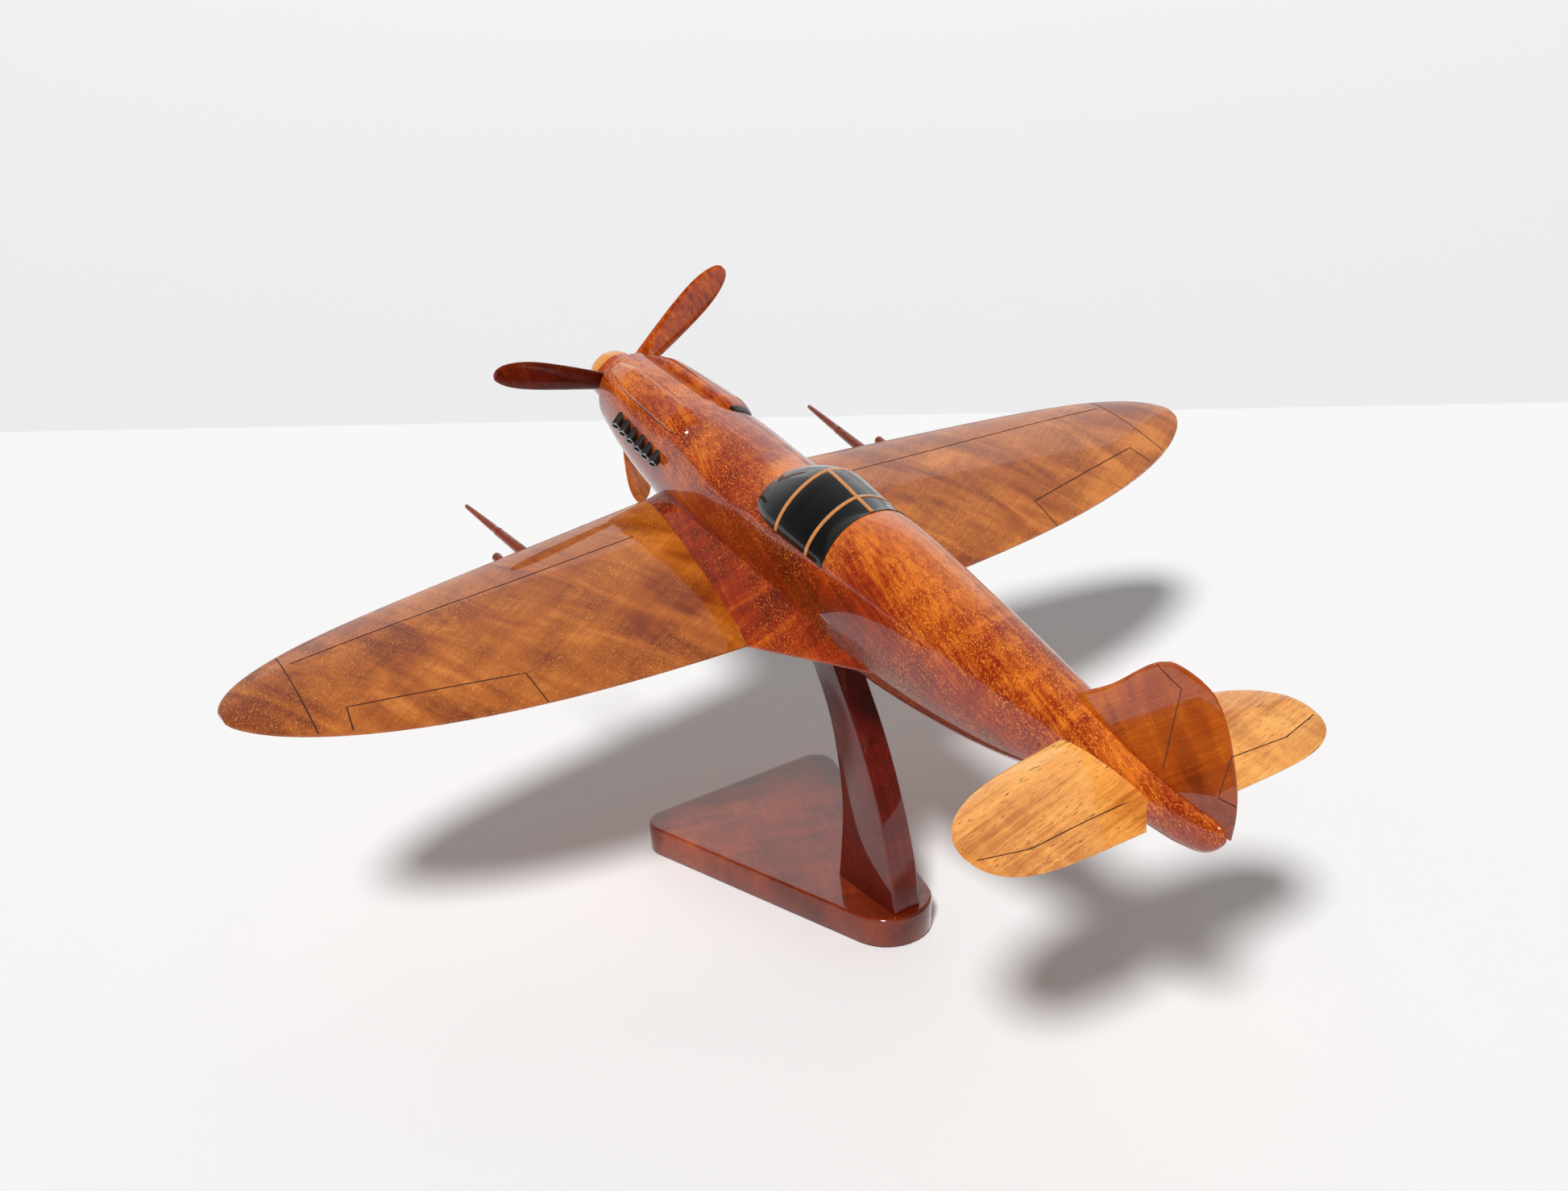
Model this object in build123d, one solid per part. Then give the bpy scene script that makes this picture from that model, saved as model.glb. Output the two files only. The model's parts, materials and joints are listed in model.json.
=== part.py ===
from build123d import *
import os
from math import cos, sin, tan, radians, pi

# Lacquered wooden display model of a single-engine fighter, 1:24, on a post and plate. Millimetres.
# The aircraft pieces are drawn level: x to the left wing, y aft from the propeller disc,
# z up from the propeller axis. At the end they are tipped nose-up and set on the stand.

# ---- stand ----
plate_length = 129.0
plate_width = 93.0
plate_thick = 12.5
plate_nose_radius = 18.0       # rounding of the narrow rear end
plate_corner_radius = 9.0      # rounding of the two front corners
plate_edge_round = 1.0
felt_thick = 0.8
felt_inset = 3.0
post_thick = 12.5
post_edge_round = 1.0
post_seat_gap = 0.3            # between the top of the post and the belly
screw_dia = 3.5
screw_head_dia = 7.0
screw_head_height = 2.4
screw_grip = 17.0              # length inside the post
screw_places = [33.0, 50.0]    # behind the middle of the plate
pin_dia = 2.4
pin_in_post = 9.0
pin_in_body = 8.0
pin_spread = 3.2               # half the distance between the two pins
pin_station = 153.5            # along the aircraft
running_clearance = 0.05       # radial, pins in the belly and the propeller on its screw

# side view of the post: place along the stand, height above the plate
post_front = [(22.6, 0.0), (24.6, 14.0), (26.4, 36.0), (24.0, 56.4), (18.4, 76.1), (9.8, 91.3),
              (-5.0, 112.0)]
post_back = [(14.5, 112.0), (29.1, 88.1), (40.6, 68.1), (51.4, 42.3), (57.7, 19.5), (60.4, 0.0)]

# ---- attitude ----
nose_up = 10.66                # degrees
axis_height = 178.0            # propeller disc centre above the underside of the plate
disc_forward = 134.4           # propeller disc centre ahead of the middle of the plate

# ---- body ----
# along, half width, top, bottom, height of the greatest width
body_stations = [
    (4.0, 14.8, 16.2, -17.4, 0.6),
    (21.0, 18.0, 18.4, -22.4, 0.0),
    (50.0, 21.0, 20.3, -28.2, -0.6),
    (83.0, 22.5, 22.4, -28.8, 0.0),
    (121.0, 22.6, 24.0, -28.8, 0.8),
    (150.0, 22.9, 28.6, -29.0, 2.0),
    (178.0, 23.2, 33.2, -29.0, 2.9),
    (225.0, 20.6, 31.7, -24.2, 4.2),
    (267.0, 16.7, 29.2, -14.4, 6.8),
    (304.0, 11.7, 26.0, -2.2, 10.6),
    (335.0, 7.0, 22.4, 2.6, 13.0),
    (350.0, 5.0, 21.9, 4.8, 13.6),
    (360.0, 3.6, 22.0, 9.2, 15.6),
    (365.0, 1.8, 21.4, 14.6, 18.0),
]
body_fullness = 2.25           # 2 is an ellipse, more is squarer

# ---- canopy ----
canopy_sill = 15.5
canopy_stations = [            # along, half width at the sill, top
    (123.0, 15.6, 23.4),
    (128.0, 18.6, 27.0),
    (136.5, 21.4, 32.0),
    (146.0, 22.3, 35.6),
    (156.0, 22.3, 35.3),
    (166.0, 22.0, 34.1),
    (175.0, 21.6, 33.1),
]
canopy_fullness = 1.7

# ---- wing ----
half_span = 227.5
wing_z = -25.3
wing_mid = 104.0               # station of the tip
wing_lead = 53.0               # leading edge ahead of wing_mid at the middle
wing_trail = 51.0              # trailing edge behind wing_mid at the middle
wing_sweep = 0.131
wing_dihedral = 0.5            # degrees
wing_incidence = 2.0           # degrees
wing_thickness = 0.108         # of the chord at the root
wing_tip_thinning = 0.02       # less at the tip
wing_camber = 0.018
wing_edge = 0.9                # blunt trailing edge
# where the sections of the loft lie, as shares of the half span
wing_sections = [0.0615, 0.167, 0.2725, 0.378, 0.4835, 0.589, 0.6857, 0.7736, 0.8484, 0.9055,
                 0.9473, 0.9736, 0.9899, 0.9991]
joint_ahead = (22.8, 55.8)     # x, y of the slanted wing joint at the leading edge
joint_behind = (38.3, 156.7)   # and at the trailing edge
wing_dowel_dia = 5.0
wing_dowel_places = [88.0, 122.0]
wing_dowel_in_wing = 22.0
wing_dowel_in_body = 10.0

# ---- root fairing ----
fairing_inner = 14.0
fairing_top = [(52.0, -23.0), (60.0, -13.0), (76.0, -4.0), (100.0, -0.8), (150.0, 0.4), (195.0, -2.6)]
fairing_end = [(223.0, -7.0), (223.0, -8.0)]
fairing_bottom = [(212.0, -13.0), (196.0, -20.0), (176.0, -26.0), (150.0, -29.5), (100.0, -30.5),
                  (62.0, -29.0)]

# ---- tail ----
tail_half_span = 76.3
tail_z = 16.2
tail_lead_root = 296.5
tail_trail = 347.5
tail_widest = 328.0            # station of the tip
tail_sweep = 0.11
tail_thick = 4.6
tail_tip_thick = 1.8
tail_sections = [0.0262, 0.1835, 0.3408, 0.4849, 0.616, 0.7339, 0.8322, 0.9109, 0.9594, 0.9856, 0.9974]
tail_notch = [(0.0, 329.0), (17.5, 347.0), (17.5, 362.0), (0.0, 362.0)]
tail_dowel_dia = 2.4
tail_dowel_place = 318.0
tail_dowel_in_board = 12.0
tail_dowel_gap = 0.2           # from the middle, so that the two dowels stay apart
# height, leading edge, trailing edge
fin_levels = [
    (19.0, 284.0, 366.6),
    (24.0, 287.0, 366.6),
    (29.0, 292.6, 366.3),
    (35.0, 299.6, 365.2),
    (41.0, 305.8, 363.2),
    (47.0, 310.9, 360.6),
    (53.0, 315.7, 357.6),
    (58.5, 320.6, 353.8),
    (62.5, 325.6, 349.6),
    (64.8, 330.4, 345.2),
    (65.6, 334.6, 341.2),
]
fin_thick = 4.8
fin_top_thick = 2.0
fin_dowel_dia = 2.0
fin_dowel_places = [314.0, 336.0]
fin_dowel_length = 18.0

# ---- propeller ----
# radius, chord, thickness; the first is let into the hub
blade_stations = [
    (7.5, 8.2, 4.0),
    (13.0, 9.2, 3.8),
    (18.5, 10.3, 3.5),
    (24.0, 11.4, 3.2),
    (29.5, 12.4, 2.9),
    (35.0, 13.3, 2.6),
    (40.5, 14.0, 2.3),
    (46.0, 14.3, 2.1),
    (51.0, 14.0, 1.9),
    (55.5, 12.9, 1.7),
    (59.0, 11.2, 1.5),
    (61.8, 9.0, 1.3),
    (63.8, 6.4, 1.1),
    (65.2, 2.6, 0.9),
]
blade_root_pitch = 16.0        # degrees
blade_tip_pitch = 12.0
blade_first_angle = 18.5
blade_count = 3
hub_radius = 11.0
hub_front = -5.0
hub_back = 2.9
spinner_length = 11.0
spinner_fullness = 2.3
axle_dia = 3.0
axle_depth = 22.0
axle_head_dia = 6.0
axle_head_height = 2.0
washer_thick = 0.6
washer_dia = 7.0
nose_washer_dia = 14.0
spin_gap = 0.3
cavity_dia = 9.0
cavity_depth = 4.5

# ---- nose details ----
# along, half width, height of the raised fairing
cowl_fairing_stations = [
    (7.0, 3.6, 1.4),
    (12.0, 6.2, 3.6),
    (22.0, 7.0, 4.6),
    (58.0, 7.0, 4.6),
    (70.0, 6.2, 3.6),
    (77.0, 3.6, 1.2),
]
cowl_fairing_angle = 52.0      # degrees round the section
cowl_fairing_sunk = 1.5
pipe_count = 6
pipe_pitch = 6.5
pipe_first = 31.5
pipe_dia = 4.2
pipe_bore = 2.8
pipe_length = 6.0
pipe_height = 1.0
pipe_droop = 32.0              # degrees below level
pipe_rake = 20.0               # degrees swept aft
pipe_root_gap = 1.5            # the pipe's foot clears the floor of the recess
recess_start = 26.0
recess_end = 68.0
recess_depth = 3.0
recess_low = -2.0
recess_high = 7.4
rail_thick = 2.4
rail_margin = 0.4

# ---- guns ----
cannon_x = 83.0
cannon_toe = 2.7                # the muzzle stands this much further out
cannon_drop = 1.7               # and this much lower
cannon_tip = 19.5
cannon_collar = 43.0
cannon_root_dia = 4.6
cannon_collar_dia = 3.6
cannon_ahead_dia = 3.2         # just ahead of the collar
cannon_muzzle_dia = 1.8
cannon_z = -23.4
cannon_peg_dia = 2.6
cannon_peg_length = 10.0
cannon_seat = 2.0              # how far the barrel is let into the leading edge
stub_x = 94.0
stub_dia = 3.8
stub_proud = 4.0
stub_length = 10.0

# ---- radiators ----
radiator_x = 62.0
radiator_width = 26.0
radiator_length = 38.0
radiator_start = 98.0
radiator_low = -37.5
radiator_high = -26.0
radiator_round = 2.5


def mirrored(shape):
    return shape.mirror(Plane.YZ)


def together(solids):
    return Compound(children=list(solids))


def closed_wire(points):
    return Wire([Edge.make_spline([Vector(*p) for p in points], periodic=True)])


def superellipse(angle, half_width, up, down, fullness):
    c, s = cos(angle), sin(angle)
    x = half_width * abs(c) ** (2 / fullness) * (1 if c >= 0 else -1)
    z = (up if s >= 0 else -down) * abs(s) ** (2 / fullness)
    return x, z


def body_section(station, grow=0.0):
    y, width, top, bottom, middle = station
    points = []
    for step in range(24):
        x, z = superellipse(2 * pi * (step + 0.5) / 24, width + grow, top - middle + grow,
                            middle - bottom + grow, body_fullness)
        points.append((x, y, middle + z))
    return closed_wire(points)


def body_loft(grow=0.0):
    return Solid.make_loft([body_section(s, grow) for s in body_stations])


def body_at(y):
    """Half width, top, bottom and middle of the body at a station."""
    for near, far in zip(body_stations, body_stations[1:]):
        if near[0] <= y <= far[0]:
            share = (y - near[0]) / (far[0] - near[0])
            return [a + share * (b - a) for a, b in zip(near[1:], far[1:])]


def body_point(y, angle):
    width, top, bottom, middle = body_at(y)
    x, z = superellipse(radians(angle), width, top - middle, middle - bottom, body_fullness)
    return x, middle + z


def round_bar(start, end, dia, end_dia=None):
    """Solid bar or cone between two points."""
    start, end = Vector(*start), Vector(*end)
    axis = Plane(origin=start, z_dir=(end - start).normalized())
    length = (end - start).length
    if end_dia is None:
        return Solid.make_cylinder(dia / 2, length, axis)
    return Solid.make_cone(dia / 2, end_dia / 2, length, axis)


# ---------- wing ----------
def lead(x):
    t = x / half_span
    return wing_mid - (wing_lead - wing_sweep * x) * (1 - t ** 9) ** 0.5


def trail(x):
    t = x / half_span
    return wing_mid + wing_trail * (1 - t ** 2.7) ** 0.6


def wing_point(x, share, side):
    """Point on the wing skin; share of the chord from the leading edge, side +1 above."""
    chord = trail(x) - lead(x)
    y = lead(x) + share * chord
    ratio = wing_thickness - wing_tip_thinning * x / half_span
    shape = 2.969 * share ** 0.5 - 1.26 * share - 3.516 * share ** 2 + 2.843 * share ** 3 - 1.036 * share ** 4
    half = max(chord * ratio, 1.2) / 2 * shape + wing_edge / 2 * share
    camber = wing_camber * chord * 4 * share * (1 - share)
    z = wing_z + x * tan(radians(wing_dihedral)) - (y - wing_mid) * tan(radians(wing_incidence))
    return x, y, z + camber + side * half


chord_shares = [1.0, 0.85, 0.68, 0.5, 0.34, 0.2, 0.1, 0.04, 0.01, 0.0]


def two_sided_wire(upper, lower):
    """Closed outline from the trailing edge over the top to the nose and back below."""
    points = upper + lower[::-1][1:]
    spline = Edge.make_spline([Vector(*p) for p in points])
    return Wire([spline, Edge.make_line(points[-1], points[0])])


def wing_section(x):
    upper = [wing_point(x, s, 1) for s in chord_shares]
    lower = [wing_point(x, s, -1) for s in chord_shares]
    return two_sided_wire(upper, lower)


def joint_x(y):
    slope = (joint_behind[0] - joint_ahead[0]) / (joint_behind[1] - joint_ahead[1])
    return joint_ahead[0] + (y - joint_ahead[1]) * slope


def joint_plane():
    along = Vector(joint_behind[0] - joint_ahead[0], joint_behind[1] - joint_ahead[1], 0).normalized()
    outward = along.cross(Vector(0, 0, 1))
    return Plane(origin=(joint_ahead[0], joint_ahead[1], wing_z), x_dir=along, z_dir=outward)


def beyond_joint():
    plane = joint_plane()
    return Box(600, 600, 600, align=(Align.CENTER, Align.CENTER, Align.MIN)).moved(plane.location)


def joint_point(share, side):
    x = joint_x(lead(30) + share * (trail(30) - lead(30)))
    for _ in range(4):
        x = joint_x(wing_point(x, share, side)[1])
    return wing_point(x, share, side)


def wing():
    panel = Solid.make_loft([wing_section(share * half_span) for share in wing_sections])
    return panel & beyond_joint()


def wing_dowels():
    rods = []
    for y in wing_dowel_places:
        x = joint_x(y)
        z = wing_point(x, 0.4, 1)[2] / 2 + wing_point(x, 0.4, -1)[2] / 2
        rods.append(round_bar((wing_dowel_in_body, y, z), (x + wing_dowel_in_wing, y, z), wing_dowel_dia))
    return rods


def root_fairing(body):
    upper, lower = ([joint_point(s, side) for s in chord_shares] for side in (1, -1))
    outer = two_sided_wire(upper, lower)
    profile = [fairing_end[0]] + fairing_top[::-1] + fairing_bottom[::-1] + [fairing_end[1]]
    spline = Edge.make_spline([Vector(fairing_inner, y, z) for y, z in profile])
    inner = Wire([spline, Edge.make_line(spline.position_at(1), spline.position_at(0))])
    return Solid.make_loft([outer, inner], ruled=True) - body


# ---------- tail ----------
def tail_lead(x):
    t = x / tail_half_span
    return tail_widest - (tail_widest - tail_lead_root - tail_sweep * x) * (1 - t ** 5) ** 0.5


def tail_end(x):
    t = x / tail_half_span
    return tail_widest + (tail_trail - tail_widest) * (1 - t ** 7) ** 0.5


def board_half(share, thick):
    """Half thickness of a thin board with a rounded nose and a blunt rear edge."""
    shape = 2.969 * share ** 0.5 - 1.26 * share - 3.516 * share ** 2 + 2.843 * share ** 3 - 1.036 * share ** 4
    return thick / 2 * shape + 0.35 * share


def tail_section(x):
    front, back = tail_lead(x), tail_end(x)
    thick = tail_thick + (tail_tip_thick - tail_thick) * x / tail_half_span
    rows = [(front + s * (back - front), board_half(s, thick)) for s in chord_shares]
    return two_sided_wire([(x, y, tail_z + h) for y, h in rows], [(x, y, tail_z - h) for y, h in rows])


def tailplane(body, dowel):
    panel = Solid.make_loft([tail_section(share * tail_half_span) for share in tail_sections])
    notch = extrude(make_face(Polyline(*tail_notch, close=True)), 40).moved(Location((0, 0, tail_z - 20)))
    return (panel - notch - body - dowel).solid()


def tail_dowel(side):
    reach = body_point(tail_dowel_place, 0)[0] + tail_dowel_in_board
    ends = [(x * side, tail_dowel_place, tail_z) for x in (tail_dowel_gap, reach)]
    return round_bar(*ends, tail_dowel_dia)


def fin_section(level):
    z, front, back = level
    share_up = (z - fin_levels[0][0]) / (fin_levels[-1][0] - fin_levels[0][0])
    thick = fin_thick + (fin_top_thick - fin_thick) * share_up
    rows = [(front + s * (back - front), board_half(s, thick)) for s in chord_shares]
    return two_sided_wire([(h, y, z) for y, h in rows], [(-h, y, z) for y, h in rows])


def fin_dowels():
    rods = []
    for y in fin_dowel_places:
        middle = body_at(y)[1]
        foot, head = middle - fin_dowel_length / 2, middle + fin_dowel_length / 2
        rods.append(round_bar((0, y, foot), (0, y, head), fin_dowel_dia))
    return rods


# ---------- canopy ----------
def canopy_section(station):
    y, width, top = station
    arch = []
    for step in range(13):
        x, z = superellipse(pi * step / 12, width, top - canopy_sill, 1, canopy_fullness)
        arch.append((x, y, canopy_sill + z))
    return Wire([Edge.make_spline([Vector(*p) for p in arch]), Edge.make_line(arch[-1], arch[0])])


# ---------- nose ----------
def cowl_fairing(body):
    rings = []
    for y, width, height in cowl_fairing_stations:
        x, z = body_point(y, cowl_fairing_angle)
        out = Vector(cos(radians(cowl_fairing_angle)), 0, sin(radians(cowl_fairing_angle)))
        along = Vector(-out.Z, 0, out.X)
        centre = Vector(x, y, z) - out * cowl_fairing_sunk
        ring = [centre + along * (width * cos(a)) + out * ((height + cowl_fairing_sunk) * sin(a))
                for a in [2 * pi * k / 16 for k in range(16)]]
        rings.append(closed_wire([tuple(v) for v in ring]))
    return (Solid.make_loft(rings) - body).solid()


def side_block(start, end, near, thick, low, high):
    """Block beside the nose: its inner face lies `near` below the skin at both ends."""
    inner_start = body_at(start)[0] - near
    inner_end = body_at(end)[0] - near
    outline = Polyline((inner_start, start), (inner_end, end), (inner_end + thick, end),
                       (inner_start + thick, start), close=True)
    return extrude(make_face(outline), high - low).moved(Location((0, 0, low)))


def exhaust_recess():
    return side_block(recess_start, recess_end, recess_depth, 20.0, recess_low, recess_high)


def pipe_axis(index):
    y = pipe_first + index * pipe_pitch
    droop, rake = radians(pipe_droop), radians(pipe_rake)
    direction = Vector(cos(droop) * cos(rake), sin(rake), -sin(droop) * cos(rake))
    floor = body_at(y)[0] - recess_depth + pipe_root_gap
    mouth_x = floor + direction.X * pipe_length
    mouth = Vector(mouth_x, y, pipe_height)
    return mouth - direction * pipe_length, mouth


def exhaust_pipes():
    pipes = []
    for index in range(pipe_count):
        start, mouth = pipe_axis(index)
        pipes.append(round_bar(start, mouth, pipe_dia) - round_bar(start, mouth, pipe_bore))
    return pipes


def exhaust_rail():
    rail = side_block(recess_start + rail_margin, recess_end - rail_margin, recess_depth, rail_thick,
                      recess_low + rail_margin, recess_high - rail_margin)
    for index in range(pipe_count):
        start, mouth = pipe_axis(index)
        rail = rail - round_bar(start, mouth, pipe_dia)
    return rail


# ---------- guns and radiators ----------
def cannon_axis(y):
    """Point on the barrel's axis; it toes out and drops a little towards the muzzle."""
    seat = lead(cannon_x) + cannon_seat
    share = (seat - y) / (seat - cannon_tip)
    return cannon_x + share * cannon_toe, y, cannon_z - share * cannon_drop


def cannon():
    seat = lead(cannon_x) + cannon_seat
    barrel = round_bar(cannon_axis(seat), cannon_axis(cannon_collar), cannon_root_dia, cannon_collar_dia)
    ahead = cannon_axis(cannon_collar), cannon_axis(cannon_tip)
    muzzle = round_bar(*ahead, cannon_ahead_dia, cannon_muzzle_dia)
    peg = round_bar(cannon_axis(seat), cannon_axis(seat + cannon_peg_length), cannon_peg_dia)
    return (barrel + muzzle + peg).solid()


def cannon_stub():
    front = lead(stub_x) - stub_proud
    stub = round_bar((stub_x, front, cannon_z), (stub_x, front + stub_length, cannon_z), stub_dia)
    return fillet(stub.edges().sort_by(Axis.Y)[0], stub_dia / 3).solid()


def radiator(wing_panel):
    block = Box(radiator_width, radiator_length, radiator_high - radiator_low,
                align=(Align.CENTER, Align.MIN, Align.MIN))
    block = fillet(block.edges().filter_by(Axis.Z), radiator_round)
    block = fillet(block.faces().sort_by(Axis.Z)[0].edges(), radiator_round)
    return (block.moved(Location((radiator_x, radiator_start, radiator_low))) - wing_panel).solid()


# ---------- propeller ----------
def blade_pitch(radius):
    return radians(blade_root_pitch + (blade_tip_pitch - blade_root_pitch) * radius / blade_stations[-1][0])


def blade_section(station):
    """Section of a blade that stands along +X; the leading edge is low and forward."""
    radius, chord, thick = station
    pitch = blade_pitch(radius)
    points = []
    for step in range(16):
        a = 2 * pi * step / 16
        along, off = chord / 2 * cos(a), thick / 2 * sin(a)
        points.append((radius, along * sin(pitch) + off * cos(pitch), along * cos(pitch) - off * sin(pitch)))
    return closed_wire(points)


def turned(shape, index):
    """Turn about the propeller axis to the place of one blade."""
    angle = blade_first_angle + index * 360 / blade_count
    return shape.rotate(Axis((0, 0, 0), (0, -1, 0)), angle)


def spinner_solid():
    points = []
    for step in range(9):
        s = step / 8
        radius = hub_radius * (1 - s ** spinner_fullness) ** (1 / spinner_fullness)
        points.append((radius, hub_front - spinner_length * s))
    profile = [Spline(*points), Line(points[-1], (0, hub_front)), Line((0, hub_front), points[0])]
    return revolve(make_face(profile), Axis.Y).solid()


def disc(start, end, dia, bore=None):
    ring = round_bar((0, start, 0), (0, end, 0), dia)
    if bore is None:
        return ring
    return ring - round_bar((0, start, 0), (0, end, 0), bore)


def head_start():
    return hub_front - spin_gap - washer_thick


def propeller_pieces():
    core_bore = axle_dia + 2 * running_clearance
    hub = disc(hub_front, hub_back, 2 * hub_radius, core_bore)
    cap = spinner_solid() - disc(hub_front, hub_front - cavity_depth, cavity_dia)
    blade = Solid.make_loft([blade_section(s) for s in blade_stations])
    pieces = {"spinner_cap": cap}
    for index in range(blade_count):
        let_in = turned(blade, index)
        pieces[f"blade_{index + 1}"] = let_in
        hub = hub - let_in
    pieces["prop_hub"] = hub.solid()
    return pieces


def axle_screw():
    nose = body_stations[0][0]
    shank = disc(head_start(), nose + axle_depth, axle_dia)
    head = disc(head_start() - axle_head_height, head_start(), axle_head_dia)
    return (shank + head).solid()


# ---------- stand, drawn in place ----------
def plate_outline(inset=0.0):
    front, back = -plate_length / 2 + inset, plate_length / 2 - inset
    half = plate_width / 2 - inset
    nose = plate_nose_radius - inset
    corner = plate_corner_radius - inset
    places = [(half - corner, front + corner, corner), (corner - half, front + corner, corner),
              (0, back - nose, nose)]
    rings = [Edge.make_circle(radius).moved(Location((x, y, 0))) for x, y, radius in places]
    return make_hull(rings)


def plate():
    board = extrude(plate_outline(), plate_thick).moved(Location((0, 0, felt_thick)))
    return fillet(board.faces().sort_by(Axis.Z)[-1].edges(), plate_edge_round).solid()


def post(belly):
    front = Spline(*[(0, y, z) for y, z in post_front])
    back = Spline(*[(0, y, z) for y, z in post_back])
    outline = Wire([front, Line(front @ 1, back @ 0), back, Line(back @ 1, front @ 0)])
    bar = Solid.extrude(Face(outline), Vector(post_thick, 0, 0)).moved(Location((-post_thick / 2, 0, 0)))
    long_edges = [e for e in bar.edges() if e.length > post_thick * 5]
    bar = fillet(ShapeList(long_edges), post_edge_round)
    return bar.moved(Location((0, 0, felt_thick + plate_thick))) - belly


def post_screws():
    screws = []
    foot = felt_thick
    for y in screw_places:
        place = Plane(origin=(0, y, foot))
        head = Solid.make_cone(screw_head_dia / 2, screw_dia / 2, screw_head_height, place)
        shank = Solid.make_cylinder(screw_dia / 2, plate_thick + screw_grip - screw_head_height,
                                    Plane(origin=(0, y, foot + screw_head_height)))
        screws.append((head + shank).solid())
    return screws


def post_pins(radius_more=0.0):
    belly_z = body_at(pin_station)[2]
    return [round_bar((side * pin_spread, pin_station, belly_z - pin_in_post),
                      (side * pin_spread, pin_station, belly_z + pin_in_body + 4 * radius_more),
                      pin_dia + 2 * radius_more) for side in (-1, 1)]


# ---------- the model ----------
def aircraft():
    whole = body_loft()
    canopy = Solid.make_loft([canopy_section(s) for s in canopy_stations])
    fairing = cowl_fairing(whole)
    dowels = wing_dowels()
    screw = axle_screw()
    rods = fin_dowels()
    peg = tail_dowel(1)

    body = whole - canopy - exhaust_recess() - mirrored(exhaust_recess()) - screw
    for tool in dowels + [mirrored(d) for d in dowels] + rods + [peg, mirrored(peg)]:
        body = body - tool
    for tool in post_pins(running_clearance):
        body = body - tool

    panel = wing()
    root = root_fairing(whole)
    for tool in dowels:
        panel = panel - tool
        root = root - tool
    gun = cannon()
    stub = cannon_stub()
    rad = radiator(panel)
    panel = panel - gun - stub
    board = tailplane(whole, peg)
    upright = Solid.make_loft([fin_section(level) for level in fin_levels]) - whole
    for tool in rods:
        upright = upright - tool

    nose = body_stations[0][0]
    pieces = {
        "fuselage": body.solid(),
        "canopy": canopy,
        "fin": upright.solid(),
        "fin_dowels": together(rods),
        "axle_screw": screw,
        "axle_washer": disc(head_start(), head_start() + washer_thick, washer_dia, axle_dia),
        "nose_washer": disc(hub_back + spin_gap, nose, nose_washer_dia, axle_dia),
    }
    sided = {
        "wing": panel.solid(),
        "root_fairing": root.solid(),
        "wing_dowels": dowels,
        "tailplane": board,
        "tail_dowel": peg,
        "cowl_fairing": fairing,
        "exhaust_rail": exhaust_rail().solid(),
        "exhaust_pipes": exhaust_pipes(),
        "cannon": gun,
        "cannon_stub": stub,
        "radiator": rad,
    }
    for name, shape in sided.items():
        if isinstance(shape, list):
            pieces["left_" + name] = together(shape)
            pieces["right_" + name] = together([mirrored(s) for s in shape])
        else:
            pieces["left_" + name] = shape
            pieces["right_" + name] = mirrored(shape)
    pieces["right_cowl_fairing"] = (pieces["right_cowl_fairing"] - whole).solid()
    pieces.update(propeller_pieces())
    return pieces


def stand(belly, pins):
    felt = extrude(plate_outline(felt_inset), felt_thick).solid()
    screws = post_screws()
    board = plate()
    upright = post(belly)
    for tool in screws:
        board = board - tool
        upright = upright - tool
    for tool in pins:
        upright = upright - tool
    return {"stand_base": board.solid(), "stand_post": upright.solid(), "base_felt": felt,
            "post_screws": together(screws), "post_pins": together(pins)}


poise = Location((0, -disc_forward, felt_thick + axis_height), (-nose_up, 0, 0))
placed_pins = [pin.moved(poise) for pin in post_pins()]
nodes = stand(body_loft(post_seat_gap).moved(poise), placed_pins)
for name, shape in aircraft().items():
    nodes[name] = shape.moved(poise)

os.makedirs("parts", exist_ok=True)
for name, shape in nodes.items():
    export_step(shape, f"parts/{name}.step")
    print(f"{name:24s} {len(shape.solids())} solids, {shape.volume:10.1f} mm3, valid {shape.is_valid}")
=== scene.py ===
import bpy
import json
import numpy as np
from math import atan2, cos, pi, radians, sin, tan
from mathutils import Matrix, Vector


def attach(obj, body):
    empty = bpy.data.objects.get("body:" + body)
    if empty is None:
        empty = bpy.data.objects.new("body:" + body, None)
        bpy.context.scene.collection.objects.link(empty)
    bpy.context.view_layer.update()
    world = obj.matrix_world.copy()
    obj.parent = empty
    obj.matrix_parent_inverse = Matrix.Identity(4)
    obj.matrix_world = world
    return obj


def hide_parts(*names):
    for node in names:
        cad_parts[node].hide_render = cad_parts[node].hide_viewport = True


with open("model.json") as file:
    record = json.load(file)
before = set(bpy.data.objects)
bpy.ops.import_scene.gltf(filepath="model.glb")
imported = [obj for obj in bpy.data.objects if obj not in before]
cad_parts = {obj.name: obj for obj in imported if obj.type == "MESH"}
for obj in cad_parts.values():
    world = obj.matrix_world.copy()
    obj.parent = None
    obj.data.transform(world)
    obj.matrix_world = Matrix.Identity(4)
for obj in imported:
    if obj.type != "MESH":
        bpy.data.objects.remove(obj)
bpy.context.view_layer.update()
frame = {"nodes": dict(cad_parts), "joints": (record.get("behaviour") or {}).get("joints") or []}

# Lacquered wooden fighter on a post: the turned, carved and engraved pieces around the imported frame.
# Aircraft pieces are drawn level in millimetres (x left, y aft of the propeller disc, z up from its axis),
# then tipped nose-up with the frame's own propeller joint.

nodes = frame["nodes"]
spinJoint = [j for j in frame["joints"] if j["name"] == "prop_spin"][0]
discCentre = Vector(spinJoint["pos_m"])
noseUp = atan2(spinJoint["axis"][2], -spinJoint["axis"][1])
metre = 0.001
poise = np.array([[1, 0, 0], [0, cos(noseUp), sin(noseUp)], [0, -sin(noseUp), cos(noseUp)]])


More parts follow.
